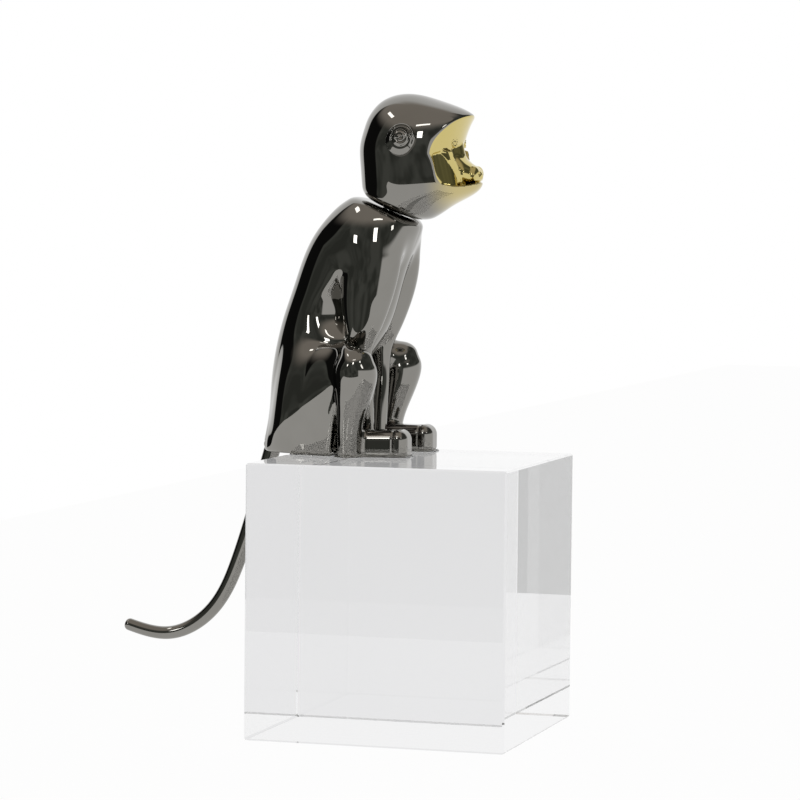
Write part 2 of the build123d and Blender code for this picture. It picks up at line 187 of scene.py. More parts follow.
# Fillets between the castings. The shoulder's grows upwards and the hip's to the rear, between the
# given places: the first number is the least and the second is the growth.
WRIST_FILLET = 1.5
KNEE_FILLET = 1.6
ANKLE_FILLET = 2.0
SHOULDER_FILLET = (1.2, 8.4)
SHOULDER_Z = (SEAT_Z + 62.5, SEAT_Z + 90.5)
HIP_FILLET = (1.4, 10.0)
HIP_BACK = (34.0, 54.0)

# The toe cap's seam: the groove's depth and spread, then the cap's height over the foot and its start
SEAM_DEPTH = 0.3
SEAM_SPREAD = 0.45
CAP_RISE = 0.25
CAP_START = 1.2

# The face: the brow's edge, the cheeks' pockets, those beside the nose, and how far the face leans
# out below the brow for each millimetre down
BROW_UP = 11.0
BROW_RISE = 0.27
BROW_OUT = 18.5
BROW_SOFTNESS = 0.3873
BROW_EDGE = (-1.1, 0.2)
CHEEK_DEPTH = 1.6
CHEEK_INNER = (12.6, 15.0)
CHEEK_OUTER = (16.4, 18.2)
NOSE_POCKET_DEPTH = 1.5
NOSE_POCKET_OUT = 6.2
NOSE_POCKET_SPREAD = 2.6
LEAN = 0.22

# The fold between cheek and muzzle: places out from the centre plane and up from the face's bottom,
# its edges' distances from them, its height at the bottom and its growth upwards
FOLD_POINTS = ((12.6, 12.4), (11.9, 10.6), (11.3, 9.0), (9.9, 6.9), (8.6, 5.0), (7.9, 3.0), (7.6, 1.0))
FOLD_EDGE = (0.7, 1.5)
FOLD_HEIGHT = 0.15
FOLD_GROWTH = 0.15
FOLD_FADE = (-0.6, 0.6)

# The face's scoop: its distance's share of the way along X, its edge and the lips', then the depth of
# the muzzle's root and the fillets round muzzle and nose
SCOOP_SHARE = 0.6
SCOOP_ROUND = 0.8
LIP_ROUND = 0.5
MUZZLE_ROOT = 5.0
MUZZLE_FILLET = 0.7
WING_FILLET = 0.6
NOSTRIL_ROUND = 0.3

# Nose and mouth: places along X, out from the centre plane and up from the face's bottom
WING_PLACE = (17.7, 3.0, 4.0)
WING_FLATNESS = 0.8
WING_RADIUS = 2.1
NOSTRIL_PLACE = (19.9, 2.4, 3.6)
NOSTRIL_RADIUS = 0.75
LIP_CORNER_X = 13.0
LIP_DROP = 1.0
LIP_RISE = 0.032
MOUTH_DEPTH = 0.7
MOUTH_UP = 0.35
MOUTH_SPREAD = 0.4

# The ears: radii of rim and middle, depth into the head, height over it and slope down to the rim.
# Rings and groove have a height or depth, a radius and a spread. The lobe's turn is where it hangs.
EAR_RADIUS = 5.7
EAR_MIDDLE = 3.5
EAR_DEPTH = 1.3
EAR_HEIGHT = 1.95
EAR_SLOPE = 0.62
EAR_RINGS = ((0.55, EAR_RADIUS - 0.6, 0.45), (0.4, EAR_RADIUS - 1.6, 0.35))
EAR_RINGS_TURN = 65.0
EAR_RINGS_FADE = (-0.15, 0.35)
EAR_GROOVE = (0.45, EAR_MIDDLE, 0.35)
EAR_DOME = 0.55
EAR_SPIRAL = 0.24
EAR_SPIRAL_PITCH = 1.4
EAR_RIM = (EAR_RADIUS - 0.3, EAR_RADIUS)
EAR_RIM_DROP = 1.2
EAR_LOBE = 1.2
EAR_LOBE_TURN = 235.0

# The eyes: how deep the plate sits and goes, its height, how its rim drops, the ring of petals and how
# much it swings between them, and the bead. Ring and bead have a height, a radius and a spread.
EYE_SUNK = 0.05
EYE_DEPTH = 0.5
EYE_HEIGHT = 0.25
EYE_RIM = (EYE_RADIUS - 0.3, EYE_RADIUS)
EYE_RIM_DROP = 0.35
PETALS = 10
PETAL_RING = (0.30, 1.55, 0.38)
PETAL_SWING = 0.35
BEAD = (0.32, 0.0, 0.55)

# The adhesive: how far it stands out from the outline at a height over the seat, its wave, its slope,
# how far it stays inside the block's edge, its top over the seat, its underside over the block's top
# and its grid spacing
FILM_OUTLINE = 1.2
FILM_MARGIN = 0.9
FILM_WAVE = 0.45
FILM_SLOPE = 1.6
FILM_INSET = 1.6
FILM_TOP = 0.4
FILM_BOTTOM = 0.02
FILM_STEP = 0.5

# Where the gold overspray on the jaw fades, forwards and upwards
OVERSPRAY_X = (1.0, 14.0)
OVERSPRAY_Z = (FACE_BOTTOM_Z - 0.9, FACE_BOTTOM_Z + 2.1)

# Each torso section: height, rear edge, depth and width as shares of the torso
TORSO_SHARES = (
    (0.000, 0.135, 0.530, 0.91),
    (0.035, 0.066, 0.622, 0.95),
    (0.095, 0.020, 0.690, 0.98),
    (0.205, 0.006, 0.712, 0.97),
    (0.305, 0.017, 0.733, 0.92),
    (0.405, 0.044, 0.830, 0.85),
    (0.515, 0.098, 0.895, 0.80),
    (0.635, 0.183, 0.885, 0.79),
    (0.755, 0.269, 0.875, 0.79),
    (0.845, 0.365, 0.848, 0.75),
    (0.920, 0.492, 0.745, 0.67),
    (0.965, 0.600, 0.600, 0.56),
    (1.000, 0.740, 0.380, 0.40),
)

# Each head section: height, rear edge, length and width as shares of the head
HEAD_SHARES = (
    (0.000, 0.122, 0.306, 0.400),
    (0.045, 0.092, 0.447, 0.525),
    (0.090, 0.071, 0.563, 0.625),
    (0.137, 0.055, 0.645, 0.700),
    (0.184, 0.041, 0.733, 0.770),
    (0.231, 0.031, 0.851, 0.830),
    (0.275, 0.024, 0.931, 0.870),
    (0.324, 0.018, 0.967, 0.910),
    (0.382, 0.014, 0.973, 0.940),
    (0.500, 0.004, 0.976, 0.985),
    (0.618, 0.004, 0.961, 1.000),
    (0.735, 0.036, 0.912, 0.950),
    (0.820, 0.066, 0.868, 0.850),
    (0.896, 0.122, 0.692, 0.675),
    (0.951, 0.190, 0.436, 0.450),
    (0.988, 0.277, 0.215, 0.225),
    (1.000, 0.380, 0.010, 0.010),
)

# The face's front profile: height and reach as shares of face height and radius
FACE_SHARES = (
    (0.00, 1.045),
    (0.12, 1.010),
    (0.35, 0.996),
    (0.60, 1.028),
    (0.80, 1.090),
    (0.97, 1.180),
    (1.10, 1.290),
)

# Each muzzle section: reach, rise, height and width as shares of the muzzle
MUZZLE_SHARES = (
    (0.00, 0.03, 0.94, 1.00),
    (0.38, -0.04, 0.74, 0.94),
    (0.68, -0.13, 0.53, 0.84),
    (0.90, -0.17, 0.42, 0.70),
    (1.00, -0.18, 0.30, 0.55),
)

# Each arm section: height, forward and outward shift, depth and width as shares of the arm
ARM_SHARES = (
    (0.005, 0.004, -0.486, 0.248, 0.340),
    (0.106, 0.000, -0.407, 0.235, 0.325),
    (0.261, 0.000, -0.264, 0.235, 0.325),
    (0.394, -0.027, -0.086, 0.274, 0.390),
    (0.450, -0.053, -0.050, 0.380, 0.490),
    (0.506, -0.035, -0.030, 0.549, 0.620),
    (0.606, 0.013, -0.020, 0.796, 0.765),
    (0.717, 0.071, -0.029, 0.956, 0.940),
    (0.828, 0.120, -0.100, 1.000, 1.000),
    (0.917, 0.160, -0.171, 0.885, 0.875),
    (0.983, 0.190, -0.257, 0.584, 0.560),
    (1.020, 0.205, -0.300, 0.010, 0.010),
)

# Each thigh section: reach, top, bottom, outward shift and width as shares of the thigh
THIGH_SHARES = (
    (0.000, 0.21, -0.15, 0.41, 0.36),
    (0.106, 0.52, -0.35, 0.46, 0.70),
    (0.238, 0.77, -0.50, 0.52, 0.90),
    (0.397, 0.94, -0.58, 0.58, 1.00),
    (0.540, 0.99, -0.58, 0.64, 1.00),
    (0.660, 1.00, -0.50, 0.70, 0.97),
    (0.755, 1.01, -0.28, 0.76, 0.92),
    (0.815, 1.02, 0.10, 0.81, 0.84),
    (0.880, 1.03, 0.54, 0.89, 0.80),
)

# Each shank section: how far down, how far back and how much slimmer, from the knee down to the seat
SHANK_SHARES = (
    (0.00, 0.00, 0.08),
    (0.12, 0.04, 0.04),
    (0.30, 0.26, 0.30),
    (0.45, 0.52, 0.58),
    (0.60, 0.80, 0.82),
    (0.78, 0.97, 0.98),
    (1.00, 1.00, 1.00),
)

# The tail's line from its start inside the rump, through its root, as shares of its reach and drop
TAIL_SHARES = (
    (-0.092, -0.250),
    (-0.007, -0.028),
    (0.231, 0.602),
    (0.398, 0.859),
    (0.689, 1.000),
    (1.000, 0.959),
)


def linear(hex_colour):
    """An sRGB hex colour as linear red, green, blue and alpha."""
    parts = np.array([int(hex_colour[i : i + 2], 16) for i in (1, 3, 5)]) / 255
    parts = np.where(parts <= 0.04045, parts / 12.92, ((parts + 0.055) / 1.055) ** 2.4)
    return (*parts, 1.0)


def length_property(name, description, default):
    """A length that a user may change."""
    return bpy.props.FloatProperty(name=name, description=description, default=default, unit="LENGTH")


class FigureSizes(bpy.types.PropertyGroup):
    """Sizes of the plated skins that a user may change."""

    body_step: length_property("Body grid", "Grid spacing of the body's skin", 0.7 * MM)
    head_step: length_property("Head grid", "Grid spacing of the head's skin", 0.5 * MM)
    skin: length_property("Wall", "Wall thickness of each plated casting", 1.0 * MM)


def colour_property(name, description, hex_colour):
    """A colour that a user may change."""
    return bpy.props.FloatVectorProperty(
        name=name,
        description=description,
        size=4,
        min=0.0,
        max=1.0,
        subtype="COLOR",
        default=linear(hex_colour),
    )


class FigureColours(bpy.types.PropertyGroup):
    """Colours of the platings and the crystal that a user may change."""

    black: colour_property("Black chrome", "Tone of the black plating", "#84827D")
    gold: colour_property("Gold", "Tone of the gold plating", "#C8B871")
    overspray: colour_property("Overspray", "Gold overspray along the jaw", "#C2B482")
    crystal: colour_property("Crystal", "Tint of the glass block", "#E5E5E6")


class StageSizes(bpy.types.PropertyGroup):
    """The table and the camera."""

    lens: bpy.props.FloatProperty(
        name="Lens", description="Focal length in millimetres", default=157.09, unit="CAMERA"
    )
    floor_reach: length_property("Table reach", "How far the table goes sideways and back", 3.0)
    table_front: length_property("Table front", "Place of the table's front edge", -0.36)
    table_left: length_property("Table left", "Place of the table's left edge", -0.48)


def smooth_curve(knots, values, blur=1.6):
    """A natural cubic spline through the knots, sampled finely and softened by a bell curve."""
    knots = np.asarray(knots, float)
    values = np.asarray(values, float)
    count = len(knots)
    gap = np.diff(knots)
    slope = np.diff(values) / gap
    matrix = np.eye(count)
    right = np.zeros(count)
    for row in range(1, count - 1):
        matrix[row, row - 1] = gap[row - 1]
        matrix[row, row] = 2 * (gap[row - 1] + gap[row])
        matrix[row, row + 1] = gap[row]
        right[row] = 6 * (slope[row] - slope[row - 1])
    bend = np.linalg.solve(matrix, right)
    samples = np.linspace(knots[0], knots[-1], 3001)
    span = np.clip(np.searchsorted(knots, samples) - 1, 0, count - 2)
    before = samples - knots[span]
    after = knots[span + 1] - samples
    width = gap[span]
    table = (
        (bend[span] * after**3 + bend[span + 1] * before**3) / (6 * width)
        + (values[span] / width - bend[span] * width / 6) * after
        + (values[span + 1] / width - bend[span + 1] * width / 6) * before
    )
    spacing = samples[1] - samples[0]
    reach = int(3 * blur / spacing)
    weights = np.exp(-0.5 * (np.arange(-reach, reach + 1) * spacing / blur) ** 2)
    before_start = 2 * table[0] - table[reach:0:-1]
    past_end = 2 * table[-1] - table[-2 : -reach - 2 : -1]
    table = np.convolve(np.concatenate((before_start, table, past_end)), weights / weights.sum(), "valid")
    return samples, table


def read(curve, places):
    """The curve's value at each place. Past its ends it goes on straight, so fillets there stay smooth."""
    knots, values = curve
    run = 20
    start = (values[run] - values[0]) / (knots[run] - knots[0])
    end = (values[-1] - values[-1 - run]) / (knots[-1] - knots[-1 - run])
    before = np.minimum(places - knots[0], 0)
    past = np.maximum(places - knots[-1], 0)
    return np.interp(places, knots, values) + start * before + end * past


def stack(places, centre_a, centre_b, half_a, half_b, blur=1.6):
    """Curves along a stack of ellipses: both centres, one half-width squared and the squares' ratio."""
    half_a = np.asarray(half_a, float)
    half_b = np.asarray(half_b, float)
    return (
        smooth_curve(places, centre_a, blur),
        smooth_curve(places, centre_b, blur),
        smooth_curve(places, half_a**2, blur),
        smooth_curve(places, half_a**2 / half_b**2, blur),
    )


def stack_distance(curves, along, a, b):
    """Distance to a stack of ellipses: how far (a, b) lies outside the ellipse at its place along the stack.

    The square form a^2 + ratio * b^2 - half^2 is divided by its own slope, which gives a true
    distance near the surface and closes the ends in round domes where half^2 runs to zero.
    """
    centre_a, centre_b, square, ratio = curves
    small = 0.05

    def form(at):
        da = a - read(centre_a, at)
        db = b - read(centre_b, at)
        share = np.maximum(read(ratio, at), 0.05)
        return da * da + share * db * db - read(square, at), da, share * db

    value, da, db = form(along)
    ahead = form(along + small)[0]
    behind = form(along - small)[0]
    slope = np.sqrt(4 * da * da + 4 * db * db + ((ahead - behind) / (2 * small)) ** 2)
    return value / np.maximum(slope, 0.5)


def box_distance(x, y, z, centre, half, edge):
    """Distance to a box with rounded edges: the hypotenuse of the overshoots past its core."""
    qx = np.abs(x - centre[0]) - (half[0] - edge)
    qy = np.abs(y - centre[1]) - (half[1] - edge)
    qz = np.abs(z - centre[2]) - (half[2] - edge)
    outside = np.sqrt(np.maximum(qx, 0) ** 2 + np.maximum(qy, 0) ** 2 + np.maximum(qz, 0) ** 2)
    return outside + np.minimum(np.maximum(qx, np.maximum(qy, qz)), 0) - edge


def merge(first, second, round_off):
    """Union of two distances with a fillet: the lesser one, lowered by a quarter of the squared overlap."""
    overlap = np.maximum(round_off - np.abs(first - second), 0) / round_off
    return np.minimum(first, second) - overlap * overlap * round_off / 4


def cut(first, second, round_off):
    """Intersection of two distances with a rounded edge."""
    return -merge(-first, -second, round_off)


def ramp(value, start, end):
    """A smooth step from 0 at start to 1 at end."""
    share = np.clip((value - start) / (end - start), 0, 1)
    return share * share * (3 - 2 * share)


def above_zero(value, softness):
    """The value where it is above zero and 0 where it is below, with a soft bend between."""
    return 0.5 * (value + np.sqrt(value**2 + softness**2))


def bump(value, centre, spread):
    """A bell curve of height 1."""
    return np.exp(-(((value - centre) / spread) ** 2))


# Half-width in millimetres at which a stack of ellipses is closed
TIP = 0.3


def section_curves():
    """The stacks of ellipses of torso, head, arm, thigh and shank, from the tables of shares.

    Where a table has no tiny section at an end, an ellipse of TIP past that end closes the stack.
    """
    torso = np.array(TORSO_SHARES)
    half = torso[:, 2] * TORSO_DEPTH / 2
    heights = np.append(SEAT_Z + torso[:, 0] * TORSO_HEIGHT, SEAT_Z + 1.03 * TORSO_HEIGHT)
    centre = np.append(TORSO_BACK_X + torso[:, 1] * TORSO_DEPTH + half, TORSO_BACK_X + 0.95 * TORSO_DEPTH)
    half = np.append(half, TIP)
    width = np.append(torso[:, 3] * TORSO_WIDTH / 2, TIP)
    torso_stack = stack(heights, centre, np.zeros_like(centre), half, width)

    head = np.array(HEAD_SHARES)
    half = head[:, 2] * HEAD_LENGTH / 2
    head_stack = stack(
        HEAD_BOTTOM_Z + head[:, 0] * HEAD_HEIGHT,
        HEAD_BACK_X + head[:, 1] * HEAD_LENGTH + half,
        np.zeros(len(head)),
        half,
        head[:, 3] * HEAD_WIDTH / 2,
    )

    arm = np.array(ARM_SHARES)
    arm_stack = stack(
        SEAT_Z + arm[:, 0] * ARM_HEIGHT,
        ARM_X + arm[:, 1] * ARM_DEPTH,
        ARM_OUT * (1 + arm[:, 2]),
        arm[:, 3] * ARM_DEPTH / 2,
        arm[:, 4] * ARM_WIDTH / 2,
    )

    thigh = np.array(THIGH_SHARES)
    dome = np.array((0.0, 0.4, 0.7, 0.9, 0.98, 1.0))
    places = np.concatenate(
        ([THIGH_REAR_X - 3.5], THIGH_REAR_X + thigh[:, 0] * THIGH_LENGTH, KNEE_X + dome * KNEE_RADIUS)
    )
    middle = SEAT_Z + (thigh[:, 1] + thigh[:, 2]) / 2 * THIGH_HEIGHT
    tall = (thigh[:, 1] - thigh[:, 2]) / 2 * THIGH_HEIGHT
    round_front = KNEE_RADIUS * np.sqrt(np.maximum(1 - dome**2, 1e-4))
    flat = np.ones(len(dome))
    thigh_stack = stack(
        places,
        np.concatenate(([middle[0]], middle, KNEE_Z * flat)),
        np.concatenate(([0.40 * KNEE_OUT], thigh[:, 3] * KNEE_OUT, KNEE_OUT * flat)),
        np.concatenate(([TIP], tall, round_front)),
        np.concatenate(([TIP], thigh[:, 4] * THIGH_WIDTH / 2, round_front)),
    )

    shank = np.array(SHANK_SHARES)[::-1]
    drop, back, slim = shank.T
    places = np.append(KNEE_Z + (SEAT_Z - KNEE_Z) * drop, KNEE_Z + 0.8 * KNEE_RADIUS)
    half_a = np.append(KNEE_RADIUS + (ANKLE_DEPTH / 2 - KNEE_RADIUS) * slim, TIP)
    half_b = np.append(KNEE_RADIUS + (ANKLE_WIDTH / 2 - KNEE_RADIUS) * slim, TIP)
    shank_stack = stack(
        places,
        np.append(KNEE_X + (ANKLE_X - KNEE_X) * back, KNEE_X),
        np.append(KNEE_OUT + (ANKLE_OUT - KNEE_OUT) * drop, KNEE_OUT),
        half_a,
        half_b,
    )
    return torso_stack, head_stack, arm_stack, thigh_stack, shank_stack


TORSO_STACK, HEAD_STACK, ARM_STACK, THIGH_STACK, SHANK_STACK = section_curves()
NECK_TILT = np.arctan2(NAPE_Z - THROAT_Z, THROAT_X - NAPE_X)


def neck_side(x, z):
    """Distance above the plane of the neck joint."""
    middle_x = (NAPE_X + THROAT_X) / 2
    middle_z = (NAPE_Z + THROAT_Z) / 2
    return (x - middle_x) * np.sin(NECK_TILT) + (z - middle_z) * np.cos(NECK_TILT)


def body_parts(x, y, z):
    """Distances to torso, arm and leg, where y is the way out from the centre plane on either side."""
    out = np.abs(y - FIGURE_Y)
    torso = stack_distance(TORSO_STACK, z, x, out)
    hollow_x = FLANK_X + FLANK_LEAN * (z - FLANK_Z)
    share = ramp(z, *FLANK_FOOT) * (1 - ramp(z, *FLANK_TOP)) * ramp(out, *FLANK_OUT)
    spread = FLANK_SPREAD * (1 - FLANK_NARROWING * ramp(z, *FLANK_TAPER))
    torso = torso + FLANK_DEPTH * bump(x, hollow_x, spread) * share
    torso = cut(torso, neck_side(x, z), NECK_ROUND)

    arm = stack_distance(ARM_STACK, z, x, out)
    centre = (ARM_X + HAND_REACH, HAND_OUT, SEAT_Z + HAND_HEIGHT / 2 - PALM_SUNK)
    half = (HAND_LENGTH / 2, HAND_WIDTH / 2, HAND_HEIGHT / 2 + PALM_SUNK)
    arm = merge(arm, box_distance(x, out, z, centre, half, HAND_ROUND), WRIST_FILLET)

    thigh = stack_distance(THIGH_STACK, x, z, out)
    under = above_zero(HAUNCH_Z + HAUNCH_RISE * (x - HAUNCH_X) - z, HAUNCH_SOFTNESS)
    crease = CREASE_DEPTH * (1 - np.exp(-under / CREASE_REACH))
    thigh = thigh + (HAUNCH_TUCK * under + crease) * ramp(out, *HAUNCH_OUT)
    shank = stack_distance(SHANK_STACK, z, x, out)
    leg = merge(thigh, shank, KNEE_FILLET)
    flare = HEEL_FLARE * np.clip(1 - (x - HEEL_X) / (FOOT_LENGTH - TOE_LENGTH), 0, 1)
    across = (out - FOOT_OUT - flare / 2) * FOOT_WIDTH / (FOOT_WIDTH + flare)
    seam_x = HEEL_X + FOOT_LENGTH - TOE_LENGTH
    centre = (HEEL_X + FOOT_LENGTH / 2, 0, SEAT_Z + FOOT_HEIGHT / 2 - SOLE_SUNK)
    half = (FOOT_LENGTH / 2, FOOT_WIDTH / 2, FOOT_HEIGHT / 2 + SOLE_SUNK)
    foot = box_distance(x, across, z, centre, half, FOOT_ROUND)
    foot = foot + SEAM_DEPTH * bump(x, seam_x, SEAM_SPREAD)
    foot = foot - CAP_RISE * ramp(x, seam_x, seam_x + CAP_START)
    leg = merge(leg, foot, ANKLE_FILLET)
    return torso, arm, leg


def body_distance(x, y, z):
    """Torso, arms and legs as one skin, with wide fillets at shoulder and hip and narrow ones elsewhere."""
    torso, arm, leg = body_parts(x, y, z)
    shoulder = SHOULDER_FILLET[0] + SHOULDER_FILLET[1] * ramp(z, *SHOULDER_Z)
    hip = HIP_FILLET[0] + HIP_FILLET[1] * ramp(-x, *HIP_BACK)
    whole = merge(merge(torso, arm, shoulder), leg, hip)
    whole = cut(whole, neck_side(x, z), NECK_ROUND)
    return cut(whole, SEAT_Z - z, SOLE_ROUND)


FACE_PROFILE = smooth_curve(
    FACE_BOTTOM_Z + np.array(FACE_SHARES)[:, 0] * FACE_HEIGHT, np.array(FACE_SHARES)[:, 1]
)
MUZZLE_ROWS = np.array(MUZZLE_SHARES)
MUZZLE_STACK = stack(
    np.append(MUZZLE_START_X + MUZZLE_ROWS[:, 0] * MUZZLE_LENGTH, MUZZLE_START_X + 1.08 * MUZZLE_LENGTH),
    np.append(MUZZLE_Z + MUZZLE_ROWS[:, 1] * MUZZLE_HEIGHT, MUZZLE_Z - 0.18 * MUZZLE_HEIGHT),
    np.zeros(len(MUZZLE_ROWS) + 1),
    np.append(MUZZLE_ROWS[:, 2] * MUZZLE_HEIGHT / 2, TIP),
    np.append(MUZZLE_ROWS[:, 3] * MUZZLE_WIDTH / 2, TIP),
    blur=0.5,
)


def path_distance(a, b, points):
    """Distance in a plane from (a, b) to a line of straight pieces."""
    nearest = None
    for (a0, b0), (a1, b1) in zip(points, points[1:]):
        run_a, run_b = a1 - a0, b1 - b0
        share = np.clip(((a - a0) * run_a + (b - b0) * run_b) / (run_a**2 + run_b**2), 0, 1)
        distance = np.hypot(a - a0 - share * run_a, b - b0 - share * run_b)
        nearest = distance if nearest is None else np.minimum(nearest, distance)
    return nearest


def face_front(out, z):
    """The face's front along X, as a function of the way out and the height.

    A profile turned about the head's upright axis that leans out below the brow's edge, less the
    pockets beside the nose and in the cheeks, plus the flat raised fold between cheek and muzzle.
    """
    up = z - FACE_BOTTOM_Z
    brow = BROW_UP + BROW_RISE * (BROW_OUT - out)
    under = above_zero(brow - up, BROW_SOFTNESS)
    reach = read(FACE_PROFILE, FACE_BOTTOM_Z + np.maximum(up, brow)) * FACE_RADIUS + LEAN * under
    front = FACE_AXIS_X + np.sqrt(np.maximum(reach**2 - out * out, 1.0))
    below = 1 - ramp(up - brow, *BROW_EDGE)
    cheek = CHEEK_DEPTH * ramp(out, *CHEEK_INNER) * (1 - ramp(out, *CHEEK_OUTER))
    beside_nose = NOSE_POCKET_DEPTH * bump(out, NOSE_POCKET_OUT, NOSE_POCKET_SPREAD)
    near = 1 - ramp(path_distance(out, up, FOLD_POINTS), *FOLD_EDGE)
    fold = near * (FOLD_HEIGHT + FOLD_GROWTH * np.maximum(up, 0)) * (1 - ramp(up - brow, *FOLD_FADE))
    return front - below * (cheek + beside_nose) * (1 - near) + fold


def lip_line(x):
    """The lower lip's upper edge: lowest at the mouth's corner and rising to the front."""
    return FACE_BOTTOM_Z - LIP_DROP + LIP_RISE * (x - LIP_CORNER_X) ** 2


def ball_distance(x, out, up, place, flatness, radius):
    """Distance to a ball that is stretched upwards where flatness is under 1."""
    dx, dy, dz = x - place[0], out - place[1], (up - place[2]) * flatness
    return np.sqrt(dx**2 + dy**2 + dz**2) - radius


def head_parts(x, y, z):
    """Distances to the hood, to the scoop in front of the face and to the muzzle."""
    out = np.abs(y - FIGURE_Y)
    hood = stack_distance(HEAD_STACK, z, x, out)
    scoop = (face_front(out, z) - x) * SCOOP_SHARE
    scoop = cut(scoop, lip_line(x) - z, LIP_ROUND)
    muzzle = cut(stack_distance(MUZZLE_STACK, x, z, out), MUZZLE_START_X - MUZZLE_ROOT - x, LIP_ROUND)
    wing = ball_distance(x, out, z - FACE_BOTTOM_Z, WING_PLACE, WING_FLATNESS, WING_RADIUS)
    nostril = ball_distance(x, out, z - FACE_BOTTOM_Z, NOSTRIL_PLACE, 1.0, NOSTRIL_RADIUS)
    muzzle = cut(merge(muzzle, wing, WING_FILLET), -nostril, NOSTRIL_ROUND)
    muzzle = muzzle + MOUTH_DEPTH * bump(z, lip_line(x) + MOUTH_UP, MOUTH_SPREAD)
    return hood, scoop, muzzle


def head_distance(x, y, z):
    """The hood with its face scooped out, the muzzle on it, and a rounded edge at the neck."""
    hood, scoop, muzzle = head_parts(x, y, z)
    whole = merge(cut(hood, -scoop, SCOOP_ROUND), muzzle, MUZZLE_FILLET)
    return cut(whole, -neck_side(x, z), NECK_ROUND)


def gold_side(x, y, z):
    """Below zero on the face and above zero on the hood."""
    hood, scoop, muzzle = head_parts(x, y, z)
    return np.minimum(hood + scoop, muzzle - np.maximum(hood, -scoop))


def glue_field(x, y, z):
    """A film under all that touches the block, its edge squeezed out by a wavy amount.

    The wave's numbers are radians for each millimetre, and the size of its wandering in radians.
    """
    wave = np.sin(0.9 * x + 1.7 * np.sin(0.5 * y)) * np.cos(0.8 * y - 0.6 * np.sin(0.7 * x))
    flat = body_distance(x, y, np.full_like(z, SEAT_Z + FILM_OUTLINE))
    edge = flat - FILM_MARGIN - FILM_WAVE * wave + FILM_SLOPE * np.maximum(z - SEAT_Z, 0)
    inside_block = np.maximum(-x, y) - BLOCK_SIDE / 2 + FILM_INSET
    edge = cut(edge, inside_block, 0.3)
    return cut(cut(edge, BLOCK_TOP + FILM_BOTTOM - z, 0.1), z - SEAT_Z - FILM_TOP, 0.2)


def slabs(field, x, y, z):
    """The field on a whole grid, worked out a few layers at a time."""
    values = np.empty((len(x), len(y), len(z)), np.float32)
    layers = 12
    for start in range(0, len(z), layers):
        part = slice(start, start + layers)
        values[:, :, part] = field(*np.meshgrid(x, y, z[part], indexing="ij"))
    return values


def slope_of(field, points):
    """The field's gradient by central differences, one row for each point."""
    reach = 0.12
    rows = []
    for axis in range(3):
        shift = np.zeros(3)
        shift[axis] = reach
        ahead = field(*(points + shift).T)
        behind = field(*(points - shift).T)
        rows.append((ahead - behind) / (2 * reach))
    return np.array(rows).T


def unit(vectors):
    """The vectors at length 1."""
    return vectors / np.linalg.norm(vectors, axis=1, keepdims=True)


def way_to_zero(field, points, slope):
    """The step along a slope that brings each point to where the field is zero."""
    return -field(*points.T)[:, None] * slope / np.maximum((slope**2).sum(1), 0.05)[:, None]


def shortened(steps, longest):
    """The steps, none of them longer than the longest."""
    length = np.linalg.norm(steps, axis=1, keepdims=True)
    return steps * np.minimum(1, longest / np.maximum(length, 1e-9))


def surface_net(field, low, high, step):
    """Points, quads and normals of the surface where the field is zero.

    Every grid cell that the surface crosses gets one point, the mean of where its edges are
    crossed, moved onto the surface along the field's slope. Every grid edge that the surface
    crosses joins the points of its four cells into a quad that faces outwards.
    """
    axes = [np.arange(low[i], high[i] + step, step) for i in range(3)]
    values = slabs(field, *axes)
    inside = values < 0
    counts = [len(axis) - 1 for axis in axes]

    def corner(grid, i, j, k):
        return grid[i : i + counts[0], j : j + counts[1], k : k + counts[2]]

    corners = [(i, j, k) for i in (0, 1) for j in (0, 1) for k in (0, 1)]
    total = sum(corner(inside, *c).astype(np.int8) for c in corners)
    mixed = (total > 0) & (total < 8)
    number = np.full(counts, -1, np.int64)
    number[mixed] = np.arange(mixed.sum())
    cell = np.argwhere(mixed)
    place = np.zeros((len(cell), 3))
    weight = np.zeros(len(cell))
    for axis in range(3):
        for c in corners:
            if c[axis]:
                continue
            far = list(c)
            far[axis] = 1
            near_value = corner(values, *c)[mixed]
            far_value = corner(values, *far)[mixed]
            crossed = (near_value < 0) != (far_value < 0)
            share = np.where(crossed, near_value / np.where(crossed, near_value - far_value, 1), 0)
            spot = np.tile(np.array(c, float), (len(cell), 1))
            spot[:, axis] = share
            place += spot * crossed[:, None]
            weight += crossed
    points = np.array([axes[i][cell[:, i]] for i in range(3)]).T + place / weight[:, None] * step
    for _ in range(4):
        points += shortened(way_to_zero(field, points, slope_of(field, points)), step)
    normals = unit(slope_of(field, points))

    quads = []
    for axis in range(3):
        one, two = (axis + 1) % 3, (axis + 2) % 3
        lower = [slice(1, -1)] * 3
        lower[axis] = slice(0, -1)
        upper = list(lower)
        upper[axis] = slice(1, None)
        start, end = inside[tuple(lower)], inside[tuple(upper)]
        for leaving in (True, False):
            edges = np.argwhere((start & ~end) if leaving else (~start & end))
            base = edges.copy()
            base[:, one] += 1
            base[:, two] += 1
            ring = []
            for back_one, back_two in ((1, 1), (0, 1), (0, 0), (1, 0)):
                spot = base.copy()
                spot[:, one] -= back_one
                spot[:, two] -= back_two
                ring.append(number[spot[:, 0], spot[:, 1], spot[:, 2]])
            quad = np.array(ring).T
            quads.append(quad if leaving else quad[:, ::-1])
    return points, np.concatenate(quads), normals


def snap_edge(points, quads, chosen, field, split):
    """Moves the points between two patches onto the line where the split is zero, along the surface."""
    shared = np.intersect1d(np.unique(quads[chosen]), np.unique(quads[~chosen]))
    moved = points[shared]
    for _ in range(3):
        slope = unit(slope_of(field, moved))
        side = slope_of(split, moved)
        side -= slope * (side * slope).sum(1, keepdims=True)
        moved = moved + shortened(way_to_zero(split, moved, side), 0.3)
        moved += way_to_zero(field, moved, slope_of(field, moved))
    points[shared] = moved
    return points


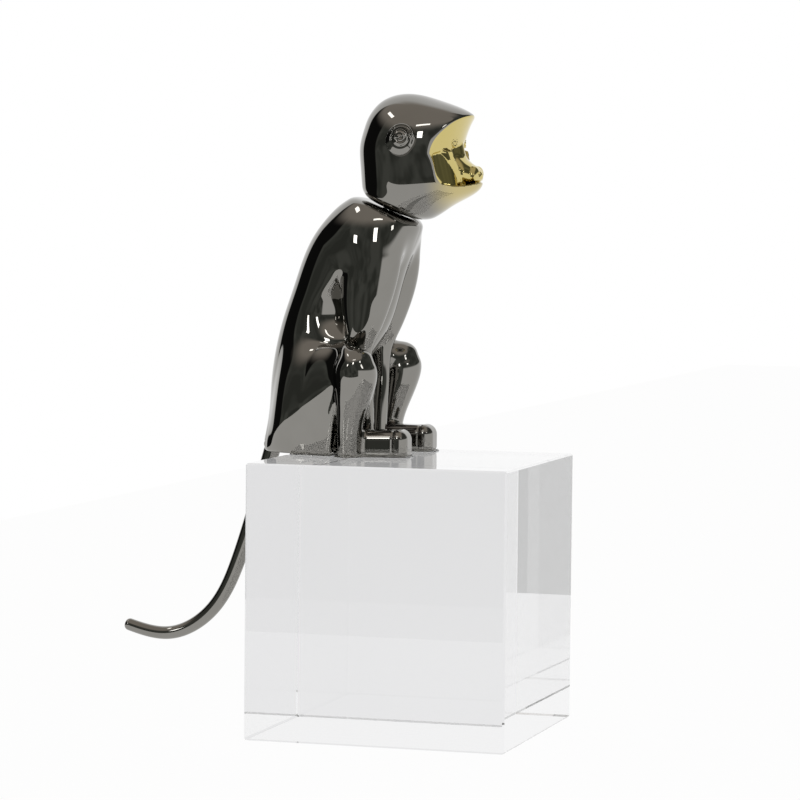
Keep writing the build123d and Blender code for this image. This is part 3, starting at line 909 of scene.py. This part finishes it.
def shell(points, quads, normals, wall):
    """A closed shell under an open patch: an inner side one wall behind, joined at the edges by rim quads."""
    used, quads = np.unique(quads, return_inverse=True)
    quads = quads.reshape(-1, 4)
    points, normals = points[used], normals[used]
    count = len(points)
    start = quads.ravel()
    end = np.roll(quads, -1, axis=1).ravel()
    forward = start * count + end
    backward = end * count + start
    rim = ~np.isin(forward, backward)
    start, end = start[rim], end[rim]
    side = np.array([end, start, start + count, end + count]).T
    inner = quads[:, ::-1] + count
    faces = np.concatenate((quads, inner, side))
    return (
        np.concatenate((points, points - wall * normals)),
        faces,
        np.concatenate((normals, -normals)),
    )


def add_object(name, data):
    """A new object in the scene from a mesh, a lamp or a camera."""
    made = bpy.data.objects.new(name, data)
    bpy.context.scene.collection.objects.link(made)
    return made


def make_piece(name, points, faces, normals=None):
    """A smooth mesh piece from points in millimetres and faces of one kind, riding on the root body."""
    mesh = bpy.data.meshes.new(name)
    faces = np.asarray(faces)
    sides = faces.shape[1]
    mesh.vertices.add(len(points))
    mesh.vertices.foreach_set("co", (np.asarray(points) * MM).astype(np.float32).ravel())
    mesh.loops.add(faces.size)
    mesh.loops.foreach_set("vertex_index", faces.astype(np.int32).ravel())
    mesh.polygons.add(len(faces))
    mesh.polygons.foreach_set("loop_start", np.arange(0, faces.size, sides, dtype=np.int32))
    mesh.update(calc_edges=True)
    if mesh.validate() or not len(mesh.polygons):
        raise ValueError(name + " came out with faulty faces")
    mesh.polygons.foreach_set("use_smooth", np.ones(len(mesh.polygons), bool))
    if normals is not None:
        mesh.normals_split_custom_set_from_vertices(normals.astype(np.float32))
    piece = add_object(name, mesh)
    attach(piece, "root")
    return piece


def coat(piece, finish_name):
    """Gives an object one of the FINISHES, which is made the first time that it is asked for."""
    piece.data.materials.clear()
    piece.data.materials.append(bpy.data.materials.get(finish_name) or FINISHES[finish_name]())


def dress(piece, finish_name, slot, *nodes):
    """Gives a piece its finish and hides the CAD nodes that it stands for; the slot is not used."""
    coat(piece, finish_name)
    if nodes:
        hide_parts(*nodes)


def node(tree, kind, settings=None, inputs=None):
    """Adds a shader node, sets its properties and links or fills its inputs."""
    made = tree.nodes.new(kind)
    for key, value in (settings or {}).items():
        setattr(made, key, value)
    for key, value in (inputs or {}).items():
        if isinstance(value, bpy.types.NodeSocket):
            tree.links.new(value, made.inputs[key])
        else:
            made.inputs[key].default_value = value
    return made


def paler(colour, share):
    """The colour mixed with white by a share."""
    return (*(part + share * (1 - part) for part in colour[:3]), 1.0)


def new_material(name):
    """An empty node material with its output."""
    material = bpy.data.materials.new(name)
    material.use_nodes = True
    material.node_tree.nodes.clear()
    out = node(material.node_tree, "ShaderNodeOutputMaterial")
    return material, material.node_tree, out


def clouded(name, colour, haze_share, cloud_size, detail, surface):
    """A material whose tint follows a soft cloud, sized in mm, from its colour to a paler one."""
    material, tree, out = new_material(name)
    place = node(tree, "ShaderNodeTexCoord").outputs["Object"]
    cloud = {"Vector": place, "Scale": 1 / (cloud_size * MM), "Detail": detail}
    haze = node(tree, "ShaderNodeTexNoise", inputs=cloud).outputs["Fac"]
    tones = {0: haze, 6: colour, 7: paler(colour, haze_share)}
    tint = node(tree, "ShaderNodeMix", {"data_type": "RGBA"}, tones)
    shader = node(tree, "ShaderNodeBsdfPrincipled", inputs={"Base Color": tint.outputs[2], **surface})
    tree.links.new(shader.outputs[0], out.inputs[0])
    return material, tree, shader, haze


def plated(name, colour, haze_share, cloud_size, rough_low, rough_high):
    """A polished plating: two close tones and a faint haze that follow the same soft cloud."""
    material, tree, shader, haze = clouded(name, colour, haze_share, cloud_size, 3.0, {"Metallic": 1.0})
    ends = {"Value": haze, "From Min": 0.3, "From Max": 0.7, "To Min": rough_low, "To Max": rough_high}
    rough = node(tree, "ShaderNodeMapRange", inputs=ends)
    tree.links.new(rough.outputs["Result"], shader.inputs["Roughness"])
    return material


# The black plating's haze, its clouds' size in mm, and its least and most roughness
BLACK_PLATING = (0.04, 11.0, 0.006, 0.022)


def plated_black_chrome():
    """Black chrome over polished zinc: a dark, slightly warm mirror with a faint plating haze."""
    return plated("plated_black_chrome", bpy.context.scene.figure_colours.black, *BLACK_PLATING)


def plated_gold():
    """Gold plating over the same polish: a pale yellow mirror, a little softer than the black."""
    return plated("plated_gold", bpy.context.scene.figure_colours.gold, 0.08, 8.0, 0.015, 0.05)


def chrome_to_gold():
    """The hood's black chrome, with gold overspray that fades in along the jaw towards the lips."""
    colours = bpy.context.scene.figure_colours
    material = plated("chrome_to_gold", colours.black, *BLACK_PLATING)
    tree = material.node_tree
    place = node(tree, "ShaderNodeTexCoord").outputs["Object"]
    parts = node(tree, "ShaderNodeSeparateXYZ", inputs={0: place})
    smooth = {"interpolation_type": "SMOOTHSTEP"}
    fades = {}
    for axis, (start, end) in enumerate((OVERSPRAY_X, OVERSPRAY_Z[::-1])):
        way = parts.outputs[("X", "Z")[axis]]
        ends = {"Value": way, "From Min": start * MM, "From Max": end * MM}
        fades[axis] = node(tree, "ShaderNodeMapRange", smooth, ends).outputs[0]
    share = node(tree, "ShaderNodeMath", {"operation": "MULTIPLY"}, fades).outputs[0]
    shader = next(item for item in tree.nodes if item.type == "BSDF_PRINCIPLED")
    black = shader.inputs["Base Color"].links[0].from_socket
    tones = {0: share, 6: black, 7: colours.overspray}
    tint = node(tree, "ShaderNodeMix", {"data_type": "RGBA"}, tones)
    tree.links.new(tint.outputs[2], shader.inputs["Base Color"])
    return material


def crystal_glass():
    """Optical crystal, ground and polished: clear with a breath of grey, its bevels as fine lines."""
    surface = {"Roughness": 0.0, "IOR": 1.5, "Transmission Weight": 1.0}
    colour = bpy.context.scene.figure_colours.crystal
    return clouded("crystal_glass", colour, 0.18, 70.0, 1.0, surface)[0]


def clear_adhesive():
    """Cured clear adhesive: glassy, with a slight ripple and a cloudy tint in soft patches."""
    surface = {"Roughness": 0.06, "IOR": 1.48, "Transmission Weight": 0.85}
    colour = linear("#E6E6E2")
    material, tree, shader, haze = clouded("clear_adhesive", colour, 0.6, 4.0, 1.0, surface)
    wave = {"Strength": 0.3, "Distance": 0.3 * MM, "Height": haze}
    ripple = node(tree, "ShaderNodeBump", inputs=wave)
    tree.links.new(ripple.outputs["Normal"], shader.inputs["Normal"])
    return material


def drawn_steel():
    """Drawn steel rod: grey, with a fine matt grain."""
    return plated("drawn_steel", linear("#8E8E8C"), 0.15, 1.1, 0.28, 0.42)


FINISHES = {
    "plated_black_chrome": plated_black_chrome,
    "plated_gold": plated_gold,
    "chrome_to_gold": chrome_to_gold,
    "crystal_glass": crystal_glass,
    "clear_adhesive": clear_adhesive,
    "drawn_steel": drawn_steel,
}


def grid_step(spacing):
    """A grid's spacing, given in metres, as millimetres."""
    coarser = 1
    return spacing / MM * coarser


class FIGURINE_OT_body(bpy.types.Operator):
    """Make the plated skins of torso, arms and legs."""

    bl_idname = "figurine.body"
    bl_label = "Body skins"

    def execute(self, context):
        sizes = context.scene.figure_sizes
        # The grid's corners lie a few millimetres outside the skin
        low = (TORSO_BACK_X - 4, FIGURE_Y - 40, SEAT_Z - 2)
        high = (3.0, FIGURE_Y + 40, SEAT_Z + 106)
        points, quads, normals = surface_net(body_distance, low, high, grid_step(sizes.body_step))
        middle = points[quads].mean(axis=1)
        owner = np.argmin(np.array(body_parts(*middle.T)), axis=0)
        left = middle[:, 1] > FIGURE_Y
        wall = sizes.skin / MM
        shares = (
            ("torso_skin", "torso", owner == 0),
            ("right_arm_skin", "right_arm", (owner == 1) & ~left),
            ("left_arm_skin", "left_arm", (owner == 1) & left),
            ("right_leg_skin", "right_leg", (owner == 2) & ~left),
            ("left_leg_skin", "left_leg", (owner == 2) & left),
        )
        for name, node_name, chosen in shares:
            piece = make_piece(name, *shell(points, quads[chosen], normals, wall))
            dress(piece, "plated_black_chrome", "black_chrome", node_name)
        return {"FINISHED"}


class FIGURINE_OT_head(bpy.types.Operator):
    """Make the plated hood and the gold face."""

    bl_idname = "figurine.head"
    bl_label = "Head and face skins"

    def execute(self, context):
        sizes = context.scene.figure_sizes
        low = (HEAD_BACK_X - 3, FIGURE_Y - 23, HEAD_BOTTOM_Z - 3)
        high = (HEAD_BACK_X + HEAD_LENGTH + 4, FIGURE_Y + 23, HEAD_BOTTOM_Z + HEAD_HEIGHT + 3)
        points, quads, normals = surface_net(head_distance, low, high, grid_step(sizes.head_step))
        middle = points[quads].mean(axis=1)
        gold = gold_side(*middle.T) < 0
        points = snap_edge(points, quads, gold, head_distance, gold_side)
        normals = unit(slope_of(head_distance, points))
        wall = sizes.skin / MM
        piece = make_piece("head_skin", *shell(points, quads[~gold], normals, wall))
        dress(piece, "chrome_to_gold", "black_chrome", "head")
        piece = make_piece("face_skin", *shell(points, quads[gold], normals, wall))
        dress(piece, "plated_gold", "gold", "face")
        return {"FINISHED"}


def grid_faces(rings, sides):
    """Quads of a grid of rings, each closed on itself."""
    ring = np.arange(rings - 1)[:, None] * sides
    side = np.arange(sides)[None, :]
    ahead = (side + 1) % sides
    quads = np.stack((ring + side, ring + ahead, ring + sides + ahead, ring + sides + side), axis=-1)
    return quads.reshape(-1, 4)


def button(height, radius, depth, rings, sides):
    """A closed round button from its height over the disc: top face, wall and back, in its own plane.

    The height is a function of radius and angle. Rings run from the middle of the top to its
    rim, down the wall and back to the middle of the underside.
    """
    innermost = 0.004
    share = np.linspace(innermost, 1, rings)
    angle = np.arange(sides) / sides * 2 * np.pi
    top_r, top_a = np.meshgrid(share * radius, angle, indexing="ij")
    top_h = height(top_r, top_a)
    back_r = np.array((1.0, 0.5, innermost))[:, None] * radius * np.ones(sides)
    r = np.concatenate((top_r, back_r))
    h = np.concatenate((top_h, np.full_like(back_r, -depth)))
    a = np.concatenate((top_a, np.tile(angle, (3, 1))))
    points = np.stack((r * np.cos(a), r * np.sin(a), h), axis=-1).reshape(-1, 3)
    return points, grid_faces(rings + 3, sides)


def ridge(r, size):
    """A round ridge of some height, radius and spread."""
    height, radius, spread = size
    return height * bump(r, radius, spread)


def ear_rosette(r, a):
    """A cone with ring ridges on its upper side, and a spiral of ridges on a low dome in its middle."""
    cone = EAR_HEIGHT - EAR_SLOPE * np.maximum(r - EAR_MIDDLE, 0)
    upper = ramp(np.cos(a - np.radians(EAR_RINGS_TURN)), *EAR_RINGS_FADE)
    rings = (ridge(r, EAR_RINGS[0]) + ridge(r, EAR_RINGS[1])) * upper
    dome = EAR_DOME * (1 - (r / EAR_MIDDLE) ** 2)
    wind = 2 * np.pi * r / EAR_SPIRAL_PITCH - a
    spiral = EAR_SPIRAL * (0.5 + 0.5 * np.cos(wind)) * ramp(r, 0.0, 0.5)
    whole = np.where(r < EAR_MIDDLE, EAR_HEIGHT + dome + spiral, cone + rings) - ridge(r, EAR_GROOVE)
    return whole - EAR_RIM_DROP * ramp(r, *EAR_RIM) ** 2


def lobed(points):
    """The rosette with its lower rear rim drawn out along its slope into a lobe."""
    r = np.hypot(points[:, 0], points[:, 1])
    towards = np.cos(np.arctan2(points[:, 1], points[:, 0]) - np.radians(EAR_LOBE_TURN))
    share = np.clip((r - EAR_MIDDLE) / (EAR_RADIUS - EAR_MIDDLE), 0, 1)
    reach = EAR_LOBE * share * ramp(towards, 0, 1)
    points = points.copy()
    points[:, :2] *= (1 + reach / np.maximum(r, 0.1))[:, None]
    points[:, 2] -= EAR_SLOPE * reach
    return points


def eye_rosette(r, a):
    """A small flower: a ring of petals round a bead."""
    ring = ridge(r, PETAL_RING) * (1 - PETAL_SWING + PETAL_SWING * np.cos(PETALS * a))
    return EYE_HEIGHT + ring + ridge(r, BEAD) - EYE_RIM_DROP * ramp(r, *EYE_RIM)


def place_pair(names, button_shape, origin, up, out, finish_name, slot):
    """Moves a button from its own plane to its place on the right side, and mirrors it to the left."""
    flat, faces = button_shape
    points = origin + flat @ np.array((np.cross(up, out), up, out))
    across_plane = points * (1, -1, 1) + (0, 2 * FIGURE_Y, 0)
    shapes = (points, faces), (across_plane, faces[:, ::-1])
    for (name, node_name), shape in zip(names, shapes):
        dress(make_piece(name, *shape), finish_name, slot, node_name)


class FIGURINE_OT_ears(bpy.types.Operator):
    """Make both ears: a swirled rosette with a smooth lower slope."""

    bl_idname = "figurine.ears"
    bl_label = "Ears"

    def execute(self, context):
        tilt = np.radians(EAR_TILT)
        out = np.array((0, -np.cos(tilt), np.sin(tilt)))
        up = np.cross(out, (1.0, 0, 0))
        origin = np.array((EAR_X, FIGURE_Y - HEAD_WIDTH / 2, EAR_Z))
        points, faces = button(ear_rosette, EAR_RADIUS, EAR_DEPTH, 120, 240)
        names = ("right_ear_rosette", "right_ear"), ("left_ear_rosette", "left_ear")
        place_pair(names, (lobed(points), faces), origin, up, out, "plated_black_chrome", "black_chrome")
        return {"FINISHED"}


class FIGURINE_OT_eyes(bpy.types.Operator):
    """Make both eyes: small flowers in low relief."""

    bl_idname = "figurine.eyes"
    bl_label = "Eyes"

    def execute(self, context):
        turn = np.radians(EYE_TURN)
        out = np.array((np.cos(turn), -np.sin(turn), 0))
        up = np.array((0, 0, 1.0))
        origin = np.array((FACE_AXIS_X, FIGURE_Y, EYE_Z)) + out * (EYE_REACH - EYE_SUNK)
        flower = button(eye_rosette, EYE_RADIUS, EYE_DEPTH, 40, 160)
        names = ("right_eye_flower", "right_eye"), ("left_eye_flower", "left_eye")
        place_pair(names, flower, origin, up, out, "plated_gold", "gold")
        return {"FINISHED"}


class FIGURINE_OT_tail(bpy.types.Operator):
    """Make the tail: a tapered round rod along its line, with a blunt rounded tip."""

    bl_idname = "figurine.tail"
    bl_label = "Tail"

    def execute(self, context):
        rings, sides, blur, closed = 320, 48, 0.8, 0.02
        reach, drop = np.array(TAIL_SHARES).T
        x = TORSO_BACK_X - reach * TAIL_REACH
        z = SEAT_Z - drop * TAIL_DROP
        length = np.append(0, np.cumsum(np.hypot(np.diff(x), np.diff(z))))
        along = np.linspace(0, length[-1], rings)
        line_x = read(smooth_curve(length, x, blur), along)
        line_z = read(smooth_curve(length, z, blur), along)
        run_x, run_z = np.gradient(line_x, along), np.gradient(line_z, along)
        size = np.hypot(run_x, run_z)
        run_x, run_z = run_x / size, run_z / size
        radius = TAIL_ROOT_RADIUS + (TAIL_TIP_RADIUS - TAIL_ROOT_RADIUS) * along / along[-1]
        left = along[-1] - along
        tip = np.clip(1 - left / TAIL_TIP_ROUND, 0, 1)
        radius = radius - TAIL_TIP_ROUND * (1 - np.sqrt(1 - np.minimum(tip, 0.999) ** 2))
        radius[0] = closed
        radius = np.append(radius, closed)
        line_x, line_z = np.append(line_x, line_x[-1]), np.append(line_z, line_z[-1])
        run_x, run_z = np.append(run_x, run_x[-1]), np.append(run_z, run_z[-1])
        angle = (np.arange(sides) / sides * 2 * np.pi)[None, :]
        radius = radius[:, None]
        x = line_x[:, None] - radius * np.cos(angle) * run_z[:, None]
        y = FIGURE_Y + radius * np.sin(angle)
        z = line_z[:, None] + radius * np.cos(angle) * run_x[:, None]
        points = np.stack((x, y, z), axis=-1).reshape(-1, 3)
        faces = grid_faces(len(line_x), sides)[:, ::-1]
        dress(make_piece("tail_rod", points, faces), "plated_black_chrome", "black_chrome", "tail")
        return {"FINISHED"}


class FIGURINE_OT_glue(bpy.types.Operator):
    """Make the film of clear adhesive, squeezed out in waves round seat, feet and hands."""

    bl_idname = "figurine.glue"
    bl_label = "Adhesive film"

    def execute(self, context):
        low = (-BLOCK_SIDE / 2 + 1, FIGURE_Y - 38, BLOCK_TOP - 0.6)
        high = (4.0, BLOCK_SIDE / 2 - 1, SEAT_Z + 1.4)
        points, quads, normals = surface_net(glue_field, low, high, grid_step(FILM_STEP * MM))
        piece = make_piece("glue_film", points, quads, normals)
        dress(piece, "clear_adhesive", "adhesive", "seat_glue", "hand_glue")
        return {"FINISHED"}


# How much of the floor's look is plain white light, where the rest takes the object's shadow
FLOOR_GLOW = 0.97


def pale_floor():
    """White laminate: seen as plain white, with a diffuse share that takes the object's shadow."""
    material, tree, out = new_material("pale_floor")
    path = node(tree, "ShaderNodeLightPath").outputs
    either = {"operation": "MAXIMUM"}
    seen = path["Is Camera Ray"]
    for kind in ("Is Glossy Ray", "Is Transmission Ray"):
        seen = node(tree, "ShaderNodeMath", either, {0: seen, 1: path[kind]}).outputs[0]
    share = node(tree, "ShaderNodeMath", {"operation": "MULTIPLY"}, {0: seen, 1: FLOOR_GLOW}).outputs[0]
    paint = node(tree, "ShaderNodeBsdfDiffuse", inputs={"Color": linear("#F2F2F2")}).outputs[0]
    white = {"Color": linear("#FFFFFF"), "Strength": 1.0}
    glow = node(tree, "ShaderNodeEmission", inputs=white).outputs[0]
    mixed = node(tree, "ShaderNodeMixShader", inputs={0: share, 1: paint, 2: glow})
    tree.links.new(mixed.outputs[0], out.inputs[0])
    return material


# What the room shows by compass zones in degrees from +X: start, end, soft edge, rise of its top, grey.
# A zone without a top goes up to the ceiling.
ZONES = (
    (-60.0, 66.0, 3.0, 10.0, 1.0),
    (62.0, 152.0, 3.0, None, 1.0),
    (152.0, 190.0, 1.5, None, 0.012),
    (-190.0, -166.0, 1.5, None, 0.012),
)
ROOM_DARK = (0.075, 0.080, 0.072, 1.0)
ROOM_PALE = (0.150, 0.157, 0.145, 1.0)
ROOM_CLOUD = 18.0
CEILING = (0.520, 0.475, 0.430, 1.0)
CEILING_RISE = (27.0, 44.0)
HIGH_CEILING = (-8.0, 150.0, 14.0)
HIGH_CEILING_RISE = 24.0
LIGHT_THROUGH_GLASS = 0.45


def studio():
    """The room as reflections see it: dark in front, white behind, black screens at the rear left."""
    world = bpy.data.worlds.new("studio")
    world.use_nodes = True
    tree = world.node_tree
    tree.nodes.clear()
    out = node(tree, "ShaderNodeOutputWorld")
    times, less, degrees = ({"operation": word} for word in ("MULTIPLY", "SUBTRACT", "DEGREES"))
    smooth = {"interpolation_type": "SMOOTHSTEP"}
    colours = {"data_type": "RGBA"}
    direction = node(tree, "ShaderNodeTexCoord").outputs["Generated"]
    parts = node(tree, "ShaderNodeSeparateXYZ", inputs={0: direction}).outputs
    turn = node(tree, "ShaderNodeMath", {"operation": "ARCTAN2"}, {0: parts["Y"], 1: parts["X"]})
    turn = node(tree, "ShaderNodeMath", degrees, {0: turn.outputs[0]}).outputs[0]
    rise = node(tree, "ShaderNodeMath", {"operation": "ARCSINE"}, {0: parts["Z"]})
    rise = node(tree, "ShaderNodeMath", degrees, {0: rise.outputs[0]}).outputs[0]

    def between(start, end, soft):
        """1 from start to end by the compass, with soft edges."""
        sides = {}
        for number, (low, high) in enumerate(((start - soft, start + soft), (end + soft, end - soft))):
            ends = {"Value": turn, "From Min": low, "From Max": high}
            sides[number] = node(tree, "ShaderNodeMapRange", smooth, ends).outputs[0]
        return node(tree, "ShaderNodeMath", times, sides).outputs[0]

    cloud = {"Vector": direction, "Scale": 1 / np.radians(ROOM_CLOUD), "Detail": 2.0}
    cloud = node(tree, "ShaderNodeTexNoise", inputs=cloud).outputs["Fac"]
    ends = {"Value": cloud, "From Min": 0.35, "From Max": 0.65}
    share = node(tree, "ShaderNodeMapRange", smooth, ends).outputs[0]
    room = node(tree, "ShaderNodeMix", colours, {0: share, 6: ROOM_DARK, 7: ROOM_PALE}).outputs[2]
    for start, end, soft, top, grey in ZONES:
        share = between(start, end, soft)
        if top is not None:
            ends = {"Value": rise, "From Min": top + soft, "From Max": top - soft}
            low = node(tree, "ShaderNodeMapRange", smooth, ends).outputs[0]
            share = node(tree, "ShaderNodeMath", times, {0: share, 1: low}).outputs[0]
        tones = {0: share, 6: room, 7: (grey, grey, grey, 1.0)}
        room = node(tree, "ShaderNodeMix", colours, tones).outputs[2]
    lift = {0: between(*HIGH_CEILING), 1: HIGH_CEILING_RISE}
    lift = node(tree, "ShaderNodeMath", times, lift).outputs[0]
    sunk = node(tree, "ShaderNodeMath", less, {0: rise, 1: lift}).outputs[0]
    ends = {"Value": sunk, "From Min": CEILING_RISE[0], "From Max": CEILING_RISE[1]}
    share = node(tree, "ShaderNodeMapRange", smooth, ends).outputs[0]
    room = node(tree, "ShaderNodeMix", colours, {0: share, 6: room, 7: CEILING}).outputs[2]

    path = node(tree, "ShaderNodeLightPath").outputs
    through = {0: path["Is Transmission Ray"], 1: LIGHT_THROUGH_GLASS}
    through = node(tree, "ShaderNodeMath", times, through).outputs[0]
    rays = {0: path["Is Camera Ray"], 1: through}
    share = node(tree, "ShaderNodeMath", {"operation": "MAXIMUM"}, rays).outputs[0]
    tones = {0: share, 6: room, 7: linear("#FFFFFF")}
    seen = node(tree, "ShaderNodeMix", colours, tones).outputs[2]
    back = node(tree, "ShaderNodeBackground", inputs={"Color": seen, "Strength": 1.0})
    tree.links.new(back.outputs[0], out.inputs[0])
    return world


# The camera's right, up and rear axes and its place in metres, fitted to the block's corners in the photo
CAMERA_AXES = (
    (0.95797891, 0.28665609, 0.01023178),
    (-0.02624141, 0.0520636, 0.99829894),
    (0.28563577, -0.95661783, 0.0573981),
)
CAMERA_PLACE = (0.372658, -1.266619, 0.201092)

# The point that the soft boxes aim at, and how far away they stand
AIM_PLACE = (-0.02, FIGURE_Y * MM, 0.17)
AIM_DISTANCE = 1.2

# Soft boxes: name, compass turn and rise in degrees, width and height in metres, watts
SOFTBOXES = (
    ("left_softbox", -127.0, 16.0, 0.13, 0.17, 0.45),
    ("right_softbox", -84.0, 24.0, 0.17, 0.26, 0.9),
    ("upper_strip", -82.0, 44.0, 0.42, 0.07, 0.4),
    ("rear_strip", -170.0, 51.0, 0.3, 0.09, 0.35),
    ("front_softbox", -34.0, 24.0, 0.16, 0.12, 0.25),
)


class FIGURINE_OT_stage(bpy.types.Operator):
    """Make the floor, the soft studio light and the camera"""

    bl_idname = "figurine.stage"
    bl_label = "Stage"

    def execute(self, context):
        sizes = context.scene.stage_sizes
        reach, front, left = sizes.floor_reach, sizes.table_front, sizes.table_left
        if front >= cad_low[1] or left >= cad_low[0]:
            raise ValueError("The table's edges have to lie outside the object")
        mesh = bpy.data.meshes.new("floor")
        corners = [(left, front, 0), (reach, front, 0), (reach, reach, 0), (left, reach, 0)]
        mesh.from_pydata(corners, [], [(0, 1, 2, 3)])
        mesh.materials.append(pale_floor())
        floor = add_object("floor", mesh)
        context.scene.world = studio()

        for name, turn_degrees, rise_degrees, wide, high, power in SOFTBOXES:
            lamp = bpy.data.lights.new(name, "AREA")
            lamp.shape = "RECTANGLE"
            lamp.size, lamp.size_y = wide, high
            lamp.energy = power
            holder = add_object(name, lamp)
            turn, rise = np.radians(turn_degrees), np.radians(rise_degrees)
            aim = Vector((np.cos(rise) * np.cos(turn), np.cos(rise) * np.sin(turn), np.sin(rise)))
            holder.rotation_euler = aim.to_track_quat("Z", "Y").to_euler()
            holder.location = Vector(AIM_PLACE) + aim * AIM_DISTANCE

        camera_data = bpy.data.cameras.new("camera")
        camera_data.lens = sizes.lens
        camera_data.sensor_width = 36.0
        camera_data.clip_end = 20.0
        camera = add_object("camera", camera_data)
        turn = Matrix(CAMERA_AXES).transposed().to_4x4()
        turn.translation = Vector(CAMERA_PLACE)
        camera.matrix_world = turn
        context.scene.camera = camera
        context.scene.view_settings.view_transform = "Standard"
        return {"FINISHED"}


def dress_nodes():
    """Materials for the CAD nodes that stay."""
    for name, finish_name in (
        ("crystal_block", "crystal_glass"),
        ("neck_dowel", "drawn_steel"),
        ("arm_dowels", "drawn_steel"),
        ("leg_dowels", "drawn_steel"),
    ):
        coat(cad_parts[name], finish_name)


class FIGURINE_PT_tools(bpy.types.Panel):
    """The sizes, colours and operators of the figurine's looks"""

    bl_idname = "FIGURINE_PT_tools"
    bl_label = "Monkey figurine"
    bl_space_type = "VIEW_3D"
    bl_region_type = "UI"
    bl_category = "Figurine"

    def draw(self, context):
        for group, names in (
            (context.scene.figure_sizes, ("body_step", "head_step", "skin")),
            (context.scene.figure_colours, ("black", "gold", "overspray", "crystal")),
            (context.scene.stage_sizes, ("lens", "floor_reach", "table_front", "table_left")),
        ):
            for name in names:
                self.layout.prop(group, name)
        for name in ("body", "head", "ears", "eyes", "tail", "glue", "stage"):
            self.layout.operator("figurine." + name)


CLASSES = (
    FigureSizes,
    FigureColours,
    StageSizes,
    FIGURINE_OT_body,
    FIGURINE_OT_head,
    FIGURINE_OT_ears,
    FIGURINE_OT_eyes,
    FIGURINE_OT_tail,
    FIGURINE_OT_glue,
    FIGURINE_OT_stage,
    FIGURINE_PT_tools,
)


def register():
    for item in CLASSES:
        bpy.utils.register_class(item)
    bpy.types.Scene.figure_sizes = bpy.props.PointerProperty(type=FigureSizes)
    bpy.types.Scene.figure_colours = bpy.props.PointerProperty(type=FigureColours)
    bpy.types.Scene.stage_sizes = bpy.props.PointerProperty(type=StageSizes)


def unregister():
    del bpy.types.Scene.stage_sizes
    del bpy.types.Scene.figure_colours
    del bpy.types.Scene.figure_sizes
    for item in reversed(CLASSES):
        bpy.utils.unregister_class(item)


def main():
    """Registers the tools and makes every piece."""
    register()
    bpy.ops.figurine.body()
    bpy.ops.figurine.head()
    bpy.ops.figurine.ears()
    bpy.ops.figurine.eyes()
    bpy.ops.figurine.tail()
    bpy.ops.figurine.glue()
    dress_nodes()
    bpy.ops.figurine.stage()


if __name__ == "__main__":
    main()
